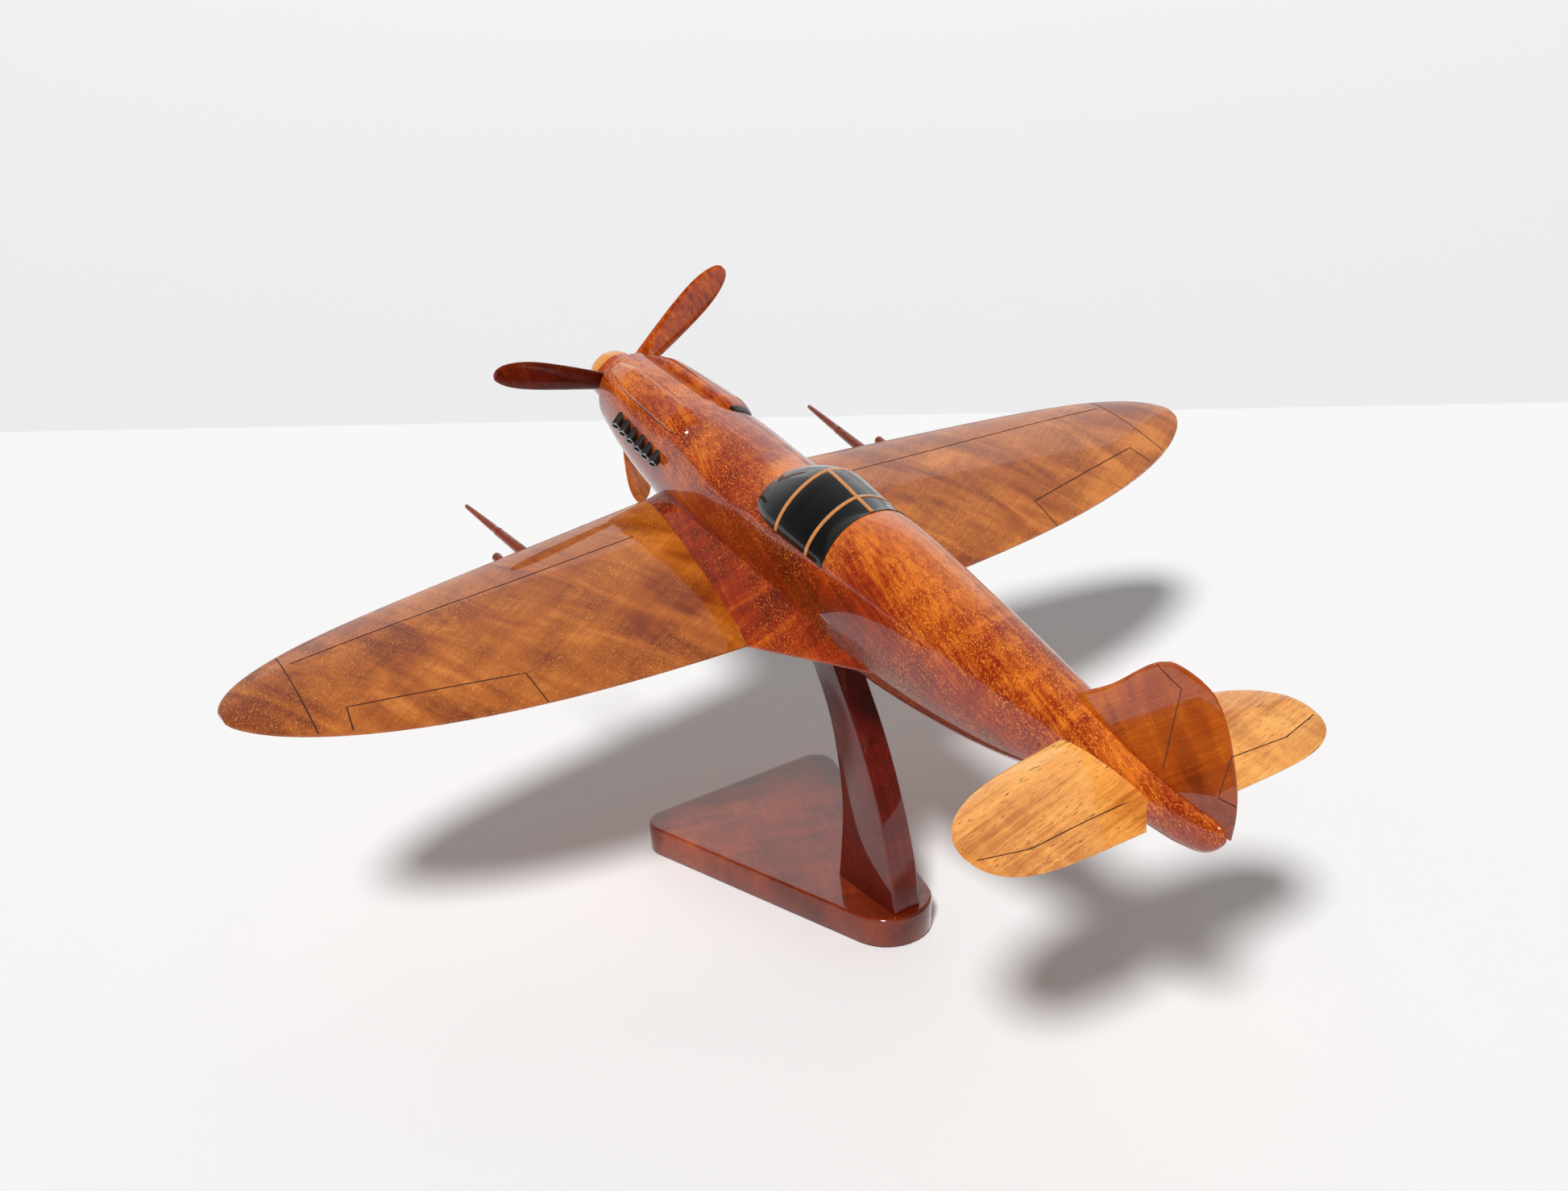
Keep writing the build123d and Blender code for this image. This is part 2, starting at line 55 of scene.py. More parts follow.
def placed(points):                     # aircraft millimetres to metres in the shared frame
    return np.asarray(points, float) @ poise.T * metre + np.array(discCentre)


# Shader maths
class Wire:                             # a socket, with ordinary arithmetic
    def __init__(self, shade, socket):
        self.shade, self.socket = shade, socket

    def sum(self, operation, first, second):
        return self.shade.node("ShaderNodeMath", {"operation": operation}, {0: first, 1: second})

    def __add__(self, other):
        return self.sum("ADD", self, other)

    def __sub__(self, other):
        return self.sum("SUBTRACT", self, other)

    def __mul__(self, other):
        return self.sum("MULTIPLY", self, other)

    def __rsub__(self, other):
        return self.sum("SUBTRACT", other, self)

    def __pow__(self, other):
        return self.sum("POWER", self, other)

    __radd__ = __add__
    __rmul__ = __mul__

    def over(self, low, high):          # 0 below low, 1 above high, smooth between
        return self.shade.node("ShaderNodeMapRange", {"interpolation_type": "SMOOTHSTEP"},
                               {0: self, 1: low, 2: high, 3: 0.0, 4: 1.0})


class Shade:                            # one material's tree
    def __init__(self, name):
        self.material = bpy.data.materials.new(name)
        self.material.use_nodes = True
        self.tree = self.material.node_tree
        self.tree.nodes.clear()

    def node(self, kind, settings=None, inputs=None, out=0):
        made = self.tree.nodes.new(kind)
        for key, value in (settings or {}).items():
            setattr(made, key, value)
        for key, value in (inputs or {}).items():
            if isinstance(value, Wire):
                self.tree.links.new(value.socket, made.inputs[key])
            else:
                made.inputs[key].default_value = value
        return Wire(self, made.outputs[out]) if made.outputs else made

    def mix(self, share, first, second, way="MIX"):
        return self.node("ShaderNodeMix", {"data_type": "RGBA", "blend_type": way, "clamp_factor": True},
                         {0: share, 6: first, 7: second}, 2)

    def place(self, turn=(0, 0, 0), scale=(1000, 1000, 1000)):     # object coordinates, in millimetres
        where = self.node("ShaderNodeTexCoord", out=3)
        turned = self.node("ShaderNodeMapping", {"vector_type": "POINT"}, {0: where, 2: turn})
        return self.node("ShaderNodeMapping", {"vector_type": "POINT"}, {0: turned, 3: scale})

    def noise(self, where, stretch, detail=2.0, rough=0.5, distort=0.0, out=0):
        laid = self.node("ShaderNodeMapping", {"vector_type": "POINT"}, {0: where, 3: stretch})
        return self.node("ShaderNodeTexNoise", {}, {0: laid, "Scale": 1.0, "Detail": detail,
                                                    "Roughness": rough, "Distortion": distort}, out)

    def finish(self, settings, inputs):
        surface = self.node("ShaderNodeBsdfPrincipled", {}, {**settings, **inputs})
        self.node("ShaderNodeOutputMaterial", {}, {0: surface})
        return self.material


def rgb(*screen):                       # screen values 0..255 to linear
    return tuple(((v / 255 + 0.055) / 1.055) ** 2.4 if v > 10 else v / 255 / 12.92 for v in screen) + (1.0,)


# Grain runs along the local Y of each turn. Lengths in millimetres.
# Each fleck colour is partly golden figure in the wood and partly a painted glint of light.
woods = {
    # The body wood's last range, in millimetres of height, paints a highlight: the body is paler towards its
    # top.
    "bodyWood": dict(turn=(radians(30), 0, 0), deep=rgb(90, 7, 0), warm=rgb(156, 43, 2),
                     pale=rgb(231, 122, 32),
                     glintFleck=rgb(255, 163, 54), glintFlecks=0.75, bands=0.2, pores=0.75, grain=0.75, paintedTopLight=(4, 34)),
    "wingWood": dict(turn=(radians(12), 0, radians(62)), deep=rgb(127, 48, 4), warm=rgb(177, 91, 19),
                     pale=rgb(218, 129, 48), glintFleck=rgb(255, 182, 75), glintFlecks=0.4, bands=0.75, pores=0.35,
                     grain=0.4),
    "fairingWood": dict(turn=(radians(20), 0, radians(15)), deep=rgb(91, 11, 0), warm=rgb(152, 43, 2),
                        pale=rgb(218, 105, 16), glintFleck=rgb(255, 166, 50), glintFlecks=0.4, bands=0.7, pores=0.3,
                        grain=0.35),
    "tailWood": dict(turn=(radians(4), 0, radians(78)), deep=rgb(193, 107, 36), warm=rgb(251, 172, 79),
                     pale=rgb(255, 209, 120), glintFleck=rgb(255, 231, 152), glintFlecks=0.25, bands=0.3, pores=1.0,
                     grain=0.7),
    "finWood": dict(turn=(radians(-38), 0, 0), deep=rgb(109, 27, 0), warm=rgb(166, 65, 2),
                    pale=rgb(209, 105, 18),
                    glintFleck=rgb(251, 158, 50), glintFlecks=0.2, bands=0.55, pores=0.5, grain=0.45),
    "bladeWood": dict(turn=(0, radians(60), radians(80)), deep=rgb(105, 20, 0), warm=rgb(195, 75, 4),
                      pale=rgb(254, 148, 39), glintFleck=rgb(255, 200, 79), glintFlecks=0.1, bands=0.25, pores=0.9,
                      grain=1.0),
    # a shaded copy of the blade wood: painted shade for the blade turned away from the light
    "shadedBladeWood": dict(turn=(0, radians(60), radians(80)), deep=rgb(50, 4, 0), warm=rgb(100, 18, 1),
                          pale=rgb(152, 48, 6), glintFleck=rgb(200, 95, 34), glintFlecks=0.1, bands=0.25, pores=0.7,
                          grain=0.8),
    "spinnerWood": dict(turn=(0, 0, 0), deep=rgb(207, 118, 41), warm=rgb(235, 156, 71),
                        pale=rgb(255, 188, 107),
                        glintFleck=rgb(255, 211, 129), glintFlecks=0.1, bands=0.2, pores=0.4, grain=0.4),
    "gunWood": dict(turn=(0, 0, 0), deep=rgb(89, 25, 9), warm=rgb(136, 52, 20), pale=rgb(172, 79, 36),
                    glintFleck=rgb(209, 113, 59), glintFlecks=0.1, bands=0.1, pores=0.8, grain=0.7),
    "standWood": dict(turn=(radians(8), 0, radians(20)), deep=rgb(73, 14, 2), warm=rgb(125, 41, 9),
                      pale=rgb(170, 73, 22),
                      glintFleck=rgb(193, 95, 43), glintFlecks=0.15, bands=0.45, pores=0.45, grain=0.35),
    "postWood": dict(turn=(radians(74), 0, 0), deep=rgb(52, 4, 1), warm=rgb(91, 13, 3), pale=rgb(132, 39, 12),
                     glintFleck=rgb(193, 91, 39), glintFlecks=0.25, bands=0.35, pores=0.5, grain=0.5),
    "stripWood": dict(turn=(0, 0, 0), deep=rgb(177, 105, 52), warm=rgb(211, 138, 75), pale=rgb(233, 168, 102),
                      glintFleck=rgb(254, 195, 127), glintFlecks=0.2, bands=0.2, pores=0.6, grain=0.4),
}


def wood(name, look):                   # oiled mahogany under a deep clear lacquer
    s = Shade(name)
    where = s.place(look["turn"])
    broad = s.noise(where, (0.030, 0.006, 0.030), 3.0, 0.55)
    figure = s.noise(where, (0.022, 0.075, 0.022), 2.0, 0.5, 1.2)
    grain = s.noise(where, (0.55, 0.016, 0.55), 5.0, 0.62, 0.4)
    fibre = s.noise(where, (2.6, 0.10, 2.6), 2.0, 0.6)
    pore = s.noise(where, (2.3, 0.22, 2.3), 1.0, 0.4)
    spark = s.noise(where, (2.9, 0.85, 2.9), 1.0, 0.5)
    patch = s.noise(where, (0.045, 0.020, 0.045), 2.0, 0.5)
    tone = ((broad - 0.5) * 1.5 + (figure - 0.5) * (1.9 * look["bands"])
            + (grain - 0.5) * (1.5 * look["grain"]) + 0.5)
    if "paintedTopLight" in look:                 # painted highlight: paler towards the top of the piece, ragged by the figure
        tall = s.node("ShaderNodeVectorMath", {"operation": "DOT_PRODUCT"},
                      {0: s.place(), 1: tuple(poise[:, 2])}, 1)
        above = tall - float(poise[:, 2] @ np.array(discCentre)) / metre
        tone = tone + (above + (figure - 0.5) * 16).over(*look["paintedTopLight"]) * 0.40 - 0.06
    colour = s.mix(tone.over(0.05, 0.62), look["deep"], look["warm"])
    colour = s.mix(tone.over(0.50, 1.05), colour, look["pale"])
    colour = s.mix(fibre.over(0.42, 0.75) * 0.30, colour, look["deep"])
    dark = tuple(0.45 * v for v in look["deep"][:3]) + (1.0,)
    pores = pore.over(0.60, 0.72) * grain.over(0.38, 0.60)
    colour = s.mix(pores * look["pores"], colour, dark)
    # golden flecks: partly the wood's own figure, partly painted glints, bright colour where the figure would
    # sparkle in the light
    paintedGlints = spark.over(0.56, 0.70) * patch.over(0.30, 0.62)
    colour = s.mix(paintedGlints * look["glintFlecks"], colour, look["glintFleck"])
    rough = fibre * 0.16 + pores * 0.12 + 0.30
    height = fibre * 0.35 - pores * 0.6 + paintedGlints * 0.5
    bump = s.node("ShaderNodeBump", {}, {"Strength": 0.22, "Distance": 0.00025, "Height": height})
    return s.finish({"Specular IOR Level": 0.12, "Coat Weight": 1.0, "Coat Roughness": 0.035,
                     "Coat IOR": 1.5},
                    {"Base Color": colour, "Roughness": rough, "Normal": bump})


def plain(name, colour, other, metallic=0.0, rough=0.3, coat=0.0, size=0.4, bumpy=0.05):
    s = Shade(name)                     # paint, metal and felt: tone and roughness drift a little
    where = s.place()
    drift = s.noise(where, (0.06, 0.06, 0.06), 3.0)
    fine = s.noise(where, (size, size, size), 4.0, 0.6)
    tint = s.mix((drift * 0.6 + fine * 0.4).over(0.3, 0.7), colour, other)
    bump = s.node("ShaderNodeBump", {}, {"Strength": bumpy, "Distance": 0.0002, "Height": fine})
    return s.finish({"Metallic": metallic, "Coat Weight": coat, "Coat Roughness": 0.03,
                     "Specular IOR Level": 0.15 if coat == 1.0 else 0.5},
                    {"Base Color": tint, "Roughness": fine * 0.18 + rough, "Normal": bump})


paint = {name: wood(name, look) for name, look in woods.items()}
paint["blackLacquer"] = plain("blackLacquer", rgb(4, 4, 5), rgb(10, 10, 11), 0.0, 0.2, 1.0, 0.2, 0.02)
paint["exhaustBlack"] = plain("exhaustBlack", rgb(20, 18, 17), rgb(44, 40, 38), 0.4, 0.30, 0.3, 1.2, 0.15)
paint["rimSilver"] = plain("rimSilver", rgb(120, 122, 126), rgb(176, 178, 182), 0.9, 0.28, 0.0, 1.5, 0.08)
paint["steel"] = plain("steel", rgb(150, 152, 156), rgb(196, 198, 202), 1.0, 0.26, 0.0, 2.0, 0.08)
paint["brass"] = plain("brass", rgb(176, 132, 58), rgb(216, 176, 96), 1.0, 0.24, 0.0, 2.0, 0.08)
paint["felt"] = plain("felt", rgb(22, 52, 36), rgb(42, 80, 58), 0.0, 0.82, 0.0, 3.5, 0.9)
paint["groove"] = plain("groove", rgb(34, 8, 3), rgb(84, 30, 10), 0.0, 0.45, 0.6, 1.6, 0.2)
paint["dowelWood"] = plain("dowelWood", rgb(196, 156, 104), rgb(222, 186, 134), 0.0, 0.55, 0.0, 0.9, 0.2)
print("materials made")


# Mesh helpers
def smooth(table, at):                  # smooth curve through the rows of a table, by its first column
    table = np.asarray(table, float)
    t, v = table[:, 0], table[:, 1:]
    slope = np.gradient(v, t, axis=0)
    at = np.clip(np.atleast_1d(np.asarray(at, float)), t[0], t[-1])
    i = np.clip(np.searchsorted(t, at, side="right") - 1, 0, len(t) - 2)
    h = (t[i + 1] - t[i])
    u = (at - t[i]) / h
    u, h = u[:, None], h[:, None]
    return ((2 * u**3 - 3 * u**2 + 1) * v[i] + (u**3 - 2 * u**2 + u) * h * slope[i]
            + (3 * u**2 - 2 * u**3) * v[i + 1] + (u**3 - u**2) * h * slope[i + 1])


def meshFrom(name, points, faces, materials, sharp=38.0):
    mesh = bpy.data.meshes.new(name)
    mesh.from_pydata([tuple(p) for p in points], [], faces)
    mesh.validate()
    piece = bpy.data.objects.new(name, mesh)
    bpy.context.scene.collection.objects.link(piece)
    for m in materials:
        mesh.materials.append(paint[m])
    faceOut(mesh)
    mesh.shade_smooth()
    mesh.set_sharp_from_angle(angle=radians(sharp))
    return piece


def faceOut(mesh):                      # closed shells get their faces turned outwards
    mesh.calc_loop_triangles()
    co = np.empty(len(mesh.vertices) * 3)
    mesh.vertices.foreach_get("co", co)
    co = co.reshape(-1, 3) - co.reshape(-1, 3).mean(0)
    tri = np.empty(len(mesh.loop_triangles) * 3, int)
    mesh.loop_triangles.foreach_get("vertices", tri)
    a, b, c = co[tri.reshape(-1, 3)].transpose(1, 0, 2)
    if (a * np.cross(b, c)).sum() < 0:
        mesh.flip_normals()


def skin(name, rings, materials, sharp=38.0, place=placed):       # closed shell through rings of points
    rings = np.asarray(rings, float)
    count, around = rings.shape[:2]
    ends = [rings[0].mean(0), rings[-1].mean(0)]
    points = place(np.vstack([rings.reshape(-1, 3), ends]))
    faces = []
    for i in range(count - 1):
        for j in range(around):
            k = (j + 1) % around
            faces.append((i * around + j, i * around + k, (i + 1) * around + k, (i + 1) * around + j))
    first, last = count * around, count * around + 1
    for j in range(around):
        k = (j + 1) % around
        faces.append((first, k, j))
        faces.append((last, (count - 1) * around + j, (count - 1) * around + k))
    return meshFrom(name, points, faces, materials, sharp)


def turnedPiece(name, start, end, profile, materials, around):      # profile: (share along, radius)
    start, end = Vector(start), Vector(end)
    axis = (end - start).normalized()
    side = axis.orthogonal().normalized()
    up = axis.cross(side)
    rings = []
    for share, radius in profile:
        centre = start.lerp(end, share)
        rings.append([tuple(centre + (side * cos(a) + up * sin(a)) * radius)
                      for a in [2 * pi * k / around for k in range(around)]])
    return skin(name, rings, materials, 40.0)


def settle(piece, body, slot, *replaced):
    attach(piece, body)
    if replaced:
        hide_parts(*replaced)
    return piece


# Geometry nodes
def nodeTree(name, inputs):             # tree, its input sockets, their identifiers and a node maker
    tree = bpy.data.node_groups.new(name, "GeometryNodeTree")
    tree.interface.new_socket("Geometry", in_out="INPUT", socket_type="NodeSocketGeometry")
    tree.interface.new_socket("Geometry", in_out="OUTPUT", socket_type="NodeSocketGeometry")
    keys = {}
    for label, kind in inputs.items():
        keys[label] = tree.interface.new_socket(label, in_out="INPUT",
                                                socket_type="NodeSocket" + kind).identifier
    source = tree.nodes.new("NodeGroupInput")

    def add(kind, settings=None, links=None):
        made = tree.nodes.new(kind)
        for key, value in (settings or {}).items():
            setattr(made, key, value)
        for key, value in (links or {}).items():
            if isinstance(value, bpy.types.NodeSocket):
                tree.links.new(value, made.inputs[key])
            else:
                made.inputs[key].default_value = value
        return made
    return tree, source.outputs, keys, add


def endTree(tree, add, geometry, material):
    real = add("GeometryNodeRealizeInstances", {}, {0: geometry})
    dressed = add("GeometryNodeSetMaterial", {}, {0: real.outputs[0], "Material": material})
    add("NodeGroupOutput", {}, {0: dressed.outputs[0]})


def grown(name, base, tree, keys, values, materials):       # run the tree on a base mesh, keep a plain mesh
    carrier = bpy.data.objects.new(name + ".carrier", base)
    bpy.context.scene.collection.objects.link(carrier)
    modifier = carrier.modifiers.new("grow", "NODES")
    modifier.node_group = tree
    for label, value in values.items():
        modifier[keys[label]] = value
    mesh = bpy.data.meshes.new_from_object(carrier.evaluated_get(bpy.context.evaluated_depsgraph_get()))
    carrier.modifiers.remove(modifier)
    bpy.data.objects.remove(carrier)
    mesh.name = name
    piece = bpy.data.objects.new(name, mesh)
    bpy.context.scene.collection.objects.link(piece)
    mesh.materials.clear()
    for m in materials:
        mesh.materials.append(paint[m])
    return piece


def pathMesh(points):
    mesh = bpy.data.meshes.new("path")
    mesh.from_pydata([tuple(p) for p in points], [(i, i + 1) for i in range(len(points) - 1)], [])
    return mesh


def rodTree():                          # a round rod along a path, which cuts the engraved lines
    tree, given, keys, add = nodeTree("rodAlongPath",
                                      {"Radius": "Float", "Sides": "Int", "Material": "Material"})
    curve = add("GeometryNodeMeshToCurve", {}, {0: given["Geometry"]})
    ring = add("GeometryNodeCurvePrimitiveCircle", {},
               {"Resolution": given["Sides"], "Radius": given["Radius"]})
    rod = add("GeometryNodeCurveToMesh", {}, {0: curve.outputs[0], 1: ring.outputs[0], "Fill Caps": True})
    endTree(tree, add, rod.outputs[0], given["Material"])
    return tree, keys


rodWay, rodKeys = rodTree()


def engrave(piece, lines, radius):      # cut each line into the piece as a fine rounded groove
    cutters = []
    for line in lines:
        rod = grown("cutter", pathMesh(placed(line)), rodWay, rodKeys,
                    {"Radius": radius * metre, "Sides": 7, "Material": paint["groove"]}, ["groove"])
        cut = piece.modifiers.new("cut", "BOOLEAN")
        cut.operation, cut.solver, cut.object = "DIFFERENCE", "EXACT", rod
        cut.material_mode = "TRANSFER"
        cutters.append(rod)
    mesh = bpy.data.meshes.new_from_object(piece.evaluated_get(bpy.context.evaluated_depsgraph_get()))
    piece.modifiers.clear()
    mesh.name = piece.data.name
    piece.data = mesh
    for rod in cutters:
        bpy.data.objects.remove(rod)
    mesh.shade_smooth()
    mesh.set_sharp_from_angle(angle=radians(32))
    return piece


# Body
body = dict(
    fullness=2.25,
    # along, half width, top, bottom, height of the greatest width
    stations=[(4.0, 14.8, 16.2, -17.4, 0.6), (21.0, 18.0, 18.4, -22.4, 0.0), (50.0, 21.0, 20.3, -28.2, -0.6),
              (83.0, 22.5, 22.4, -28.8, 0.0), (121.0, 22.6, 24.0, -28.8, 0.8),
              (150.0, 22.9, 28.6, -29.0, 2.0),
              (178.0, 23.2, 33.2, -29.0, 2.9), (225.0, 20.6, 31.7, -24.2, 4.2),
              (267.0, 16.7, 29.2, -14.4, 6.8),
              (304.0, 11.7, 26.0, -2.2, 10.6), (335.0, 7.0, 22.4, 2.6, 13.0), (350.0, 5.0, 21.9, 4.8, 13.6),
              (360.0, 3.6, 22.0, 9.2, 15.6), (365.0, 1.8, 21.4, 14.6, 18.0)],
    # the crease along the nose: along, half width, height
    crease=[(4.0, 13.2, 6.6), (14.0, 14.4, 8.4), (36.5, 16.6, 12.7), (54.2, 18.1, 13.4), (70.8, 20.1, 13.3),
            (87.5, 21.4, 12.5), (101.0, 21.5, 11.0), (114.6, 21.2, 9.5), (124.0, 20.5, 11.7),
            (136.5, 19.9, 17.0)],
    columns=132, rings=260, below=0.68)     # below: the share of a side's columns under the crease


def bodyAt(y):
    return smooth(body["stations"], y)[0]


def oval(angle, width, up, down, fullness):
    c, s = np.cos(angle), np.sin(angle)
    x = width * np.abs(c) ** (2 / fullness) * np.sign(c)
    z = np.where(s >= 0, up, down) * np.abs(s) ** (2 / fullness) * np.sign(s)
    return x, z


def creaseAt(y):                        # oval angle of the crease, and how far it stands out
    width, top, bottom, middle = bodyAt(y)
    cx, cz = smooth(body["crease"], y)[0]
    seek = np.linspace(0.02, 1.4, 400)
    x, z = oval(seek, width, top - middle, middle - bottom, body["fullness"])
    slope = (cz - middle) / cx
    k = int(np.argmin(np.abs(z / x - slope)))
    proud = np.hypot(cx, cz - middle) / np.hypot(x[k], z[k]) - 1
    fade = np.clip((y - 2.0) / 10.0, 0, 1) * np.clip((139.0 - y) / 12.0, 0, 1)
    return seek[k], max(proud, 0.03) * fade


def bodySkin(y, angle, grow=0.0):       # left-hand skin of the body at an oval angle, -90 to 90 degrees
    width, top, bottom, middle = bodyAt(y)
    x, z = oval(angle, width + grow, top - middle + grow, middle - bottom + grow, body["fullness"])
    peak, proud = creaseAt(y)
    off = np.abs(angle - peak)
    reach = np.where(angle > peak, 0.62, 0.50)
    lift = 1 + proud * np.clip(1 - off / reach, 0, 1) ** 2
    return np.stack([x * lift, np.full_like(x, y), middle + z * lift], -1)


def fuselage():
    b = body
    half = b["columns"] // 2
    ys = np.concatenate([np.linspace(4.0, 10.0, 14), np.linspace(10.7, 350, b["rings"] - 40),
                         np.linspace(351, 365, 26)])
    rings = []
    for y in ys:
        peak, _ = creaseAt(y)
        low = int(half * b["below"])
        angles = np.concatenate([np.linspace(-pi / 2, peak, low, endpoint=False),
                                 np.linspace(peak, pi / 2, half - low + 1)])
        left = bodySkin(y, angles)
        right = left[::-1][1:-1] * np.array([-1, 1, 1])
        ring = np.vstack([left, right])
        if y < 6.0:                     # the front edge is eased
            ease = (6.0 - y) / 2.0
            ring[:, [0, 2]] *= 1 - 0.05 * ease**2
        if y > 361:                     # and the tail closes round
            close = (y - 361) / 4.0
            centre = ring[:, 2].mean()
            ring[:, 0] *= (1 - close**2.2) ** 0.5 * 0.98 + 0.02
            ring[:, 2] = centre + (ring[:, 2] - centre) * ((1 - close**2.4) ** 0.5 * 0.97 + 0.03)
        rings.append(ring)
    return skin("fuselageBody", rings, ["bodyWood"], 24.0)


fuselageBody = fuselage()
print("body made", len(fuselageBody.data.polygons))
settle(fuselageBody, "aircraft", "body_wood", "fuselage")


# Wing
wingForm = dict(halfSpan=227.5, height=-25.3, middle=104.0, ahead=53.0, behind=51.0, sweep=0.131,
                dihedral=tan(radians(0.5)), incidence=tan(radians(2.0)), thickness=0.108, thinning=0.02,
                camber=0.018, edge=0.9, jointAhead=(22.8, 55.8), jointBehind=(38.3, 156.7), groove=0.30)


def lead(x):
    w = wingForm
    return w["middle"] - (w["ahead"] - w["sweep"] * x) * (1 - (x / w["halfSpan"]) ** 9) ** 0.5


def trail(x):
    w = wingForm
    return w["middle"] + w["behind"] * (1 - (x / w["halfSpan"]) ** 2.7) ** 0.6


def foil(share):
    return (2.969 * share**0.5 - 1.26 * share - 3.516 * share**2 + 2.843 * share**3 - 1.036 * share**4)


def wingPoint(x, share, side):
    w = wingForm
    front, back = lead(x), trail(x)
    chord = back - front
    y = front + share * chord
    ratio = w["thickness"] - w["thinning"] * x / w["halfSpan"]
    half = max(chord * ratio, min(1.2, chord)) / 2 * foil(share) + w["edge"] / 2 * share * min(1, chord / 12)
    z = w["height"] + x * w["dihedral"] - (y - w["middle"]) * w["incidence"]
    return np.array([x, y, z + w["camber"] * chord * 4 * share * (1 - share) + side * half])


def jointX(y):
    (x0, y0), (x1, y1) = wingForm["jointAhead"], wingForm["jointBehind"]
    return x0 + (y - y0) * (x1 - x0) / (y1 - y0)


def jointPoint(share, side):
    x = jointX(lead(30) + share * (trail(30) - lead(30)))
    for _ in range(5):
        x = jointX(wingPoint(x, share, side)[1])
    return wingPoint(x, share, side)


shares = (1 - np.cos(np.linspace(0, pi, 56))) / 2
shares = 0.35 * shares + 0.65 * np.linspace(0, 1, 56) ** 1.6
shares[-1] = 1.0


def loopOf(pointAt):                    # trailing edge, over the top, round the nose and back below
    upper = [pointAt(s, 1) for s in shares[::-1]]
    lower = [pointAt(s, -1) for s in shares[1:]]
    return np.array(upper + lower)


def surfaceAt(x, y):
    share = min(max((y - lead(x)) / (trail(x) - lead(x)), 0.0), 1.0)
    return x, y, wingPoint(x, share, 1)[2]


def spread(line, steps):                # points spread along each straight run of a line of pairs
    return [(ua + (ub - ua) * k / steps, va + (vb - va) * k / steps)
            for (ua, va), (ub, vb) in zip(line, line[1:]) for k in range(steps)]


def wingPiece(side, name):
    end = wingForm["halfSpan"] - 0.75
    rings = []
    steps = np.concatenate([[0.0, 0.0012, 0.003], np.linspace(0.01, 0.80, 78),
                            1 - 0.2 * (1 - np.linspace(0, 1, 46)[1:]) ** 2.2])
    for index, t in enumerate(steps):
        def at(share, up):
            foot = jointPoint(share, up)[0]
            return wingPoint(foot + (end - foot) * t, share, up)
        ring = loopOf(at)
        if index < 2:                   # eased edge at the joint
            centre = (ring[:, 2].max() + ring[:, 2].min()) / 2
            ring[:, 2] = centre + (ring[:, 2] - centre) * (0.965 if index == 0 else 0.992)
        rings.append(ring * np.array([side, 1, 1]))
    piece = skin(name, rings, ["wingWood"], 32.0)
    lines = [
        [(44, 81.4), (98, 84.6), (156, 87.2), (194.5, 89.5)],
        [(196.6, 79.5), (201.0, 127.5)],
        [(189.6, 131.5), (187.0, 120.6), (121.8, 133.6), (121.2, 150.5)],
    ]
    laid = [np.array([surfaceAt(*p) for p in spread(line, 24) + line[-1:]]) * np.array([side, 1, 1])
            for line in lines]
    return engrave(piece, laid, wingForm["groove"])


for side, word in ((1, "left"), (-1, "right")):
    settle(wingPiece(side, word + "WingSkin"), "aircraft", "wing_wood", word + "_wing")
print("wings made")

# Root fairings
fairing = dict(
    inner=14.0, sag=2.2,
    top=[(52.0, -23.0), (60.0, -13.0), (76.0, -4.0), (100.0, -0.8), (150.0, 0.4), (195.0, -2.6),
         (223.0, -7.0)],
    bottom=[(52.0, -23.0), (62.0, -29.0), (100.0, -30.5), (150.0, -29.5), (176.0, -26.0), (196.0, -20.0),
            (212.0, -13.0), (223.0, -8.0)])


def alongLine(line, count):             # points evenly spread along a smooth open line
    line = np.asarray(line, float)
    far = np.concatenate([[0], np.cumsum(np.linalg.norm(np.diff(line, axis=0), axis=1))])
    return smooth(np.column_stack([far, line]), np.linspace(0, 1, count) ** 1.25 * far[-1])


def rootFairing(side, name):
    f = fairing
    count = len(shares)
    upper = alongLine(f["top"], count)
    lower = alongLine(f["bottom"], count)
    outer = loopOf(jointPoint)
    inner = np.array([(f["inner"], y, z) for y, z in upper[::-1]] + [(f["inner"], y, z) for y,
                                                                     z in lower[1:]])
    rings = []
    for t in [0.0, 0.006, 0.02] + list(np.linspace(0.05, 1, 26)):
        ring = outer + (inner - outer) * t
        dip = f["sag"] * sin(pi * t)
        ring[:count, 2] -= dip * np.sin(np.linspace(0, pi, count)) ** 0.6
        if t < 0.01:
            centre = (ring[:, 2].max() + ring[:, 2].min()) / 2
            ring[:, 2] = centre + (ring[:, 2] - centre) * (0.965 if t == 0 else 0.992)
        rings.append(ring * np.array([side, 1, 1]))
    return skin(name, rings, ["fairingWood"], 34.0)


for side, word in ((1, "left"), (-1, "right")):
    settle(rootFairing(side, word + "RootFairing"), "aircraft", "fairing_wood", word + "_root_fairing")
print("fairings made")

# Tail
tail = dict(halfSpan=76.3, height=16.2, leadRoot=296.5, rear=347.5, widest=328.0, sweep=0.11, thick=4.6,
            tip=1.8,
            notchCorner=(17.5, 347.0), groove=0.24)


def boardHalf(share, thick):
    return thick / 2 * foil(share) + 0.35 * share


def tailChord(x):
    t = x / tail["halfSpan"]
    front = tail["widest"] - (tail["widest"] - tail["leadRoot"] - tail["sweep"] * x) * (1 - t**5) ** 0.5
    return front, tail["widest"] + (tail["rear"] - tail["widest"]) * (1 - t**7) ** 0.5


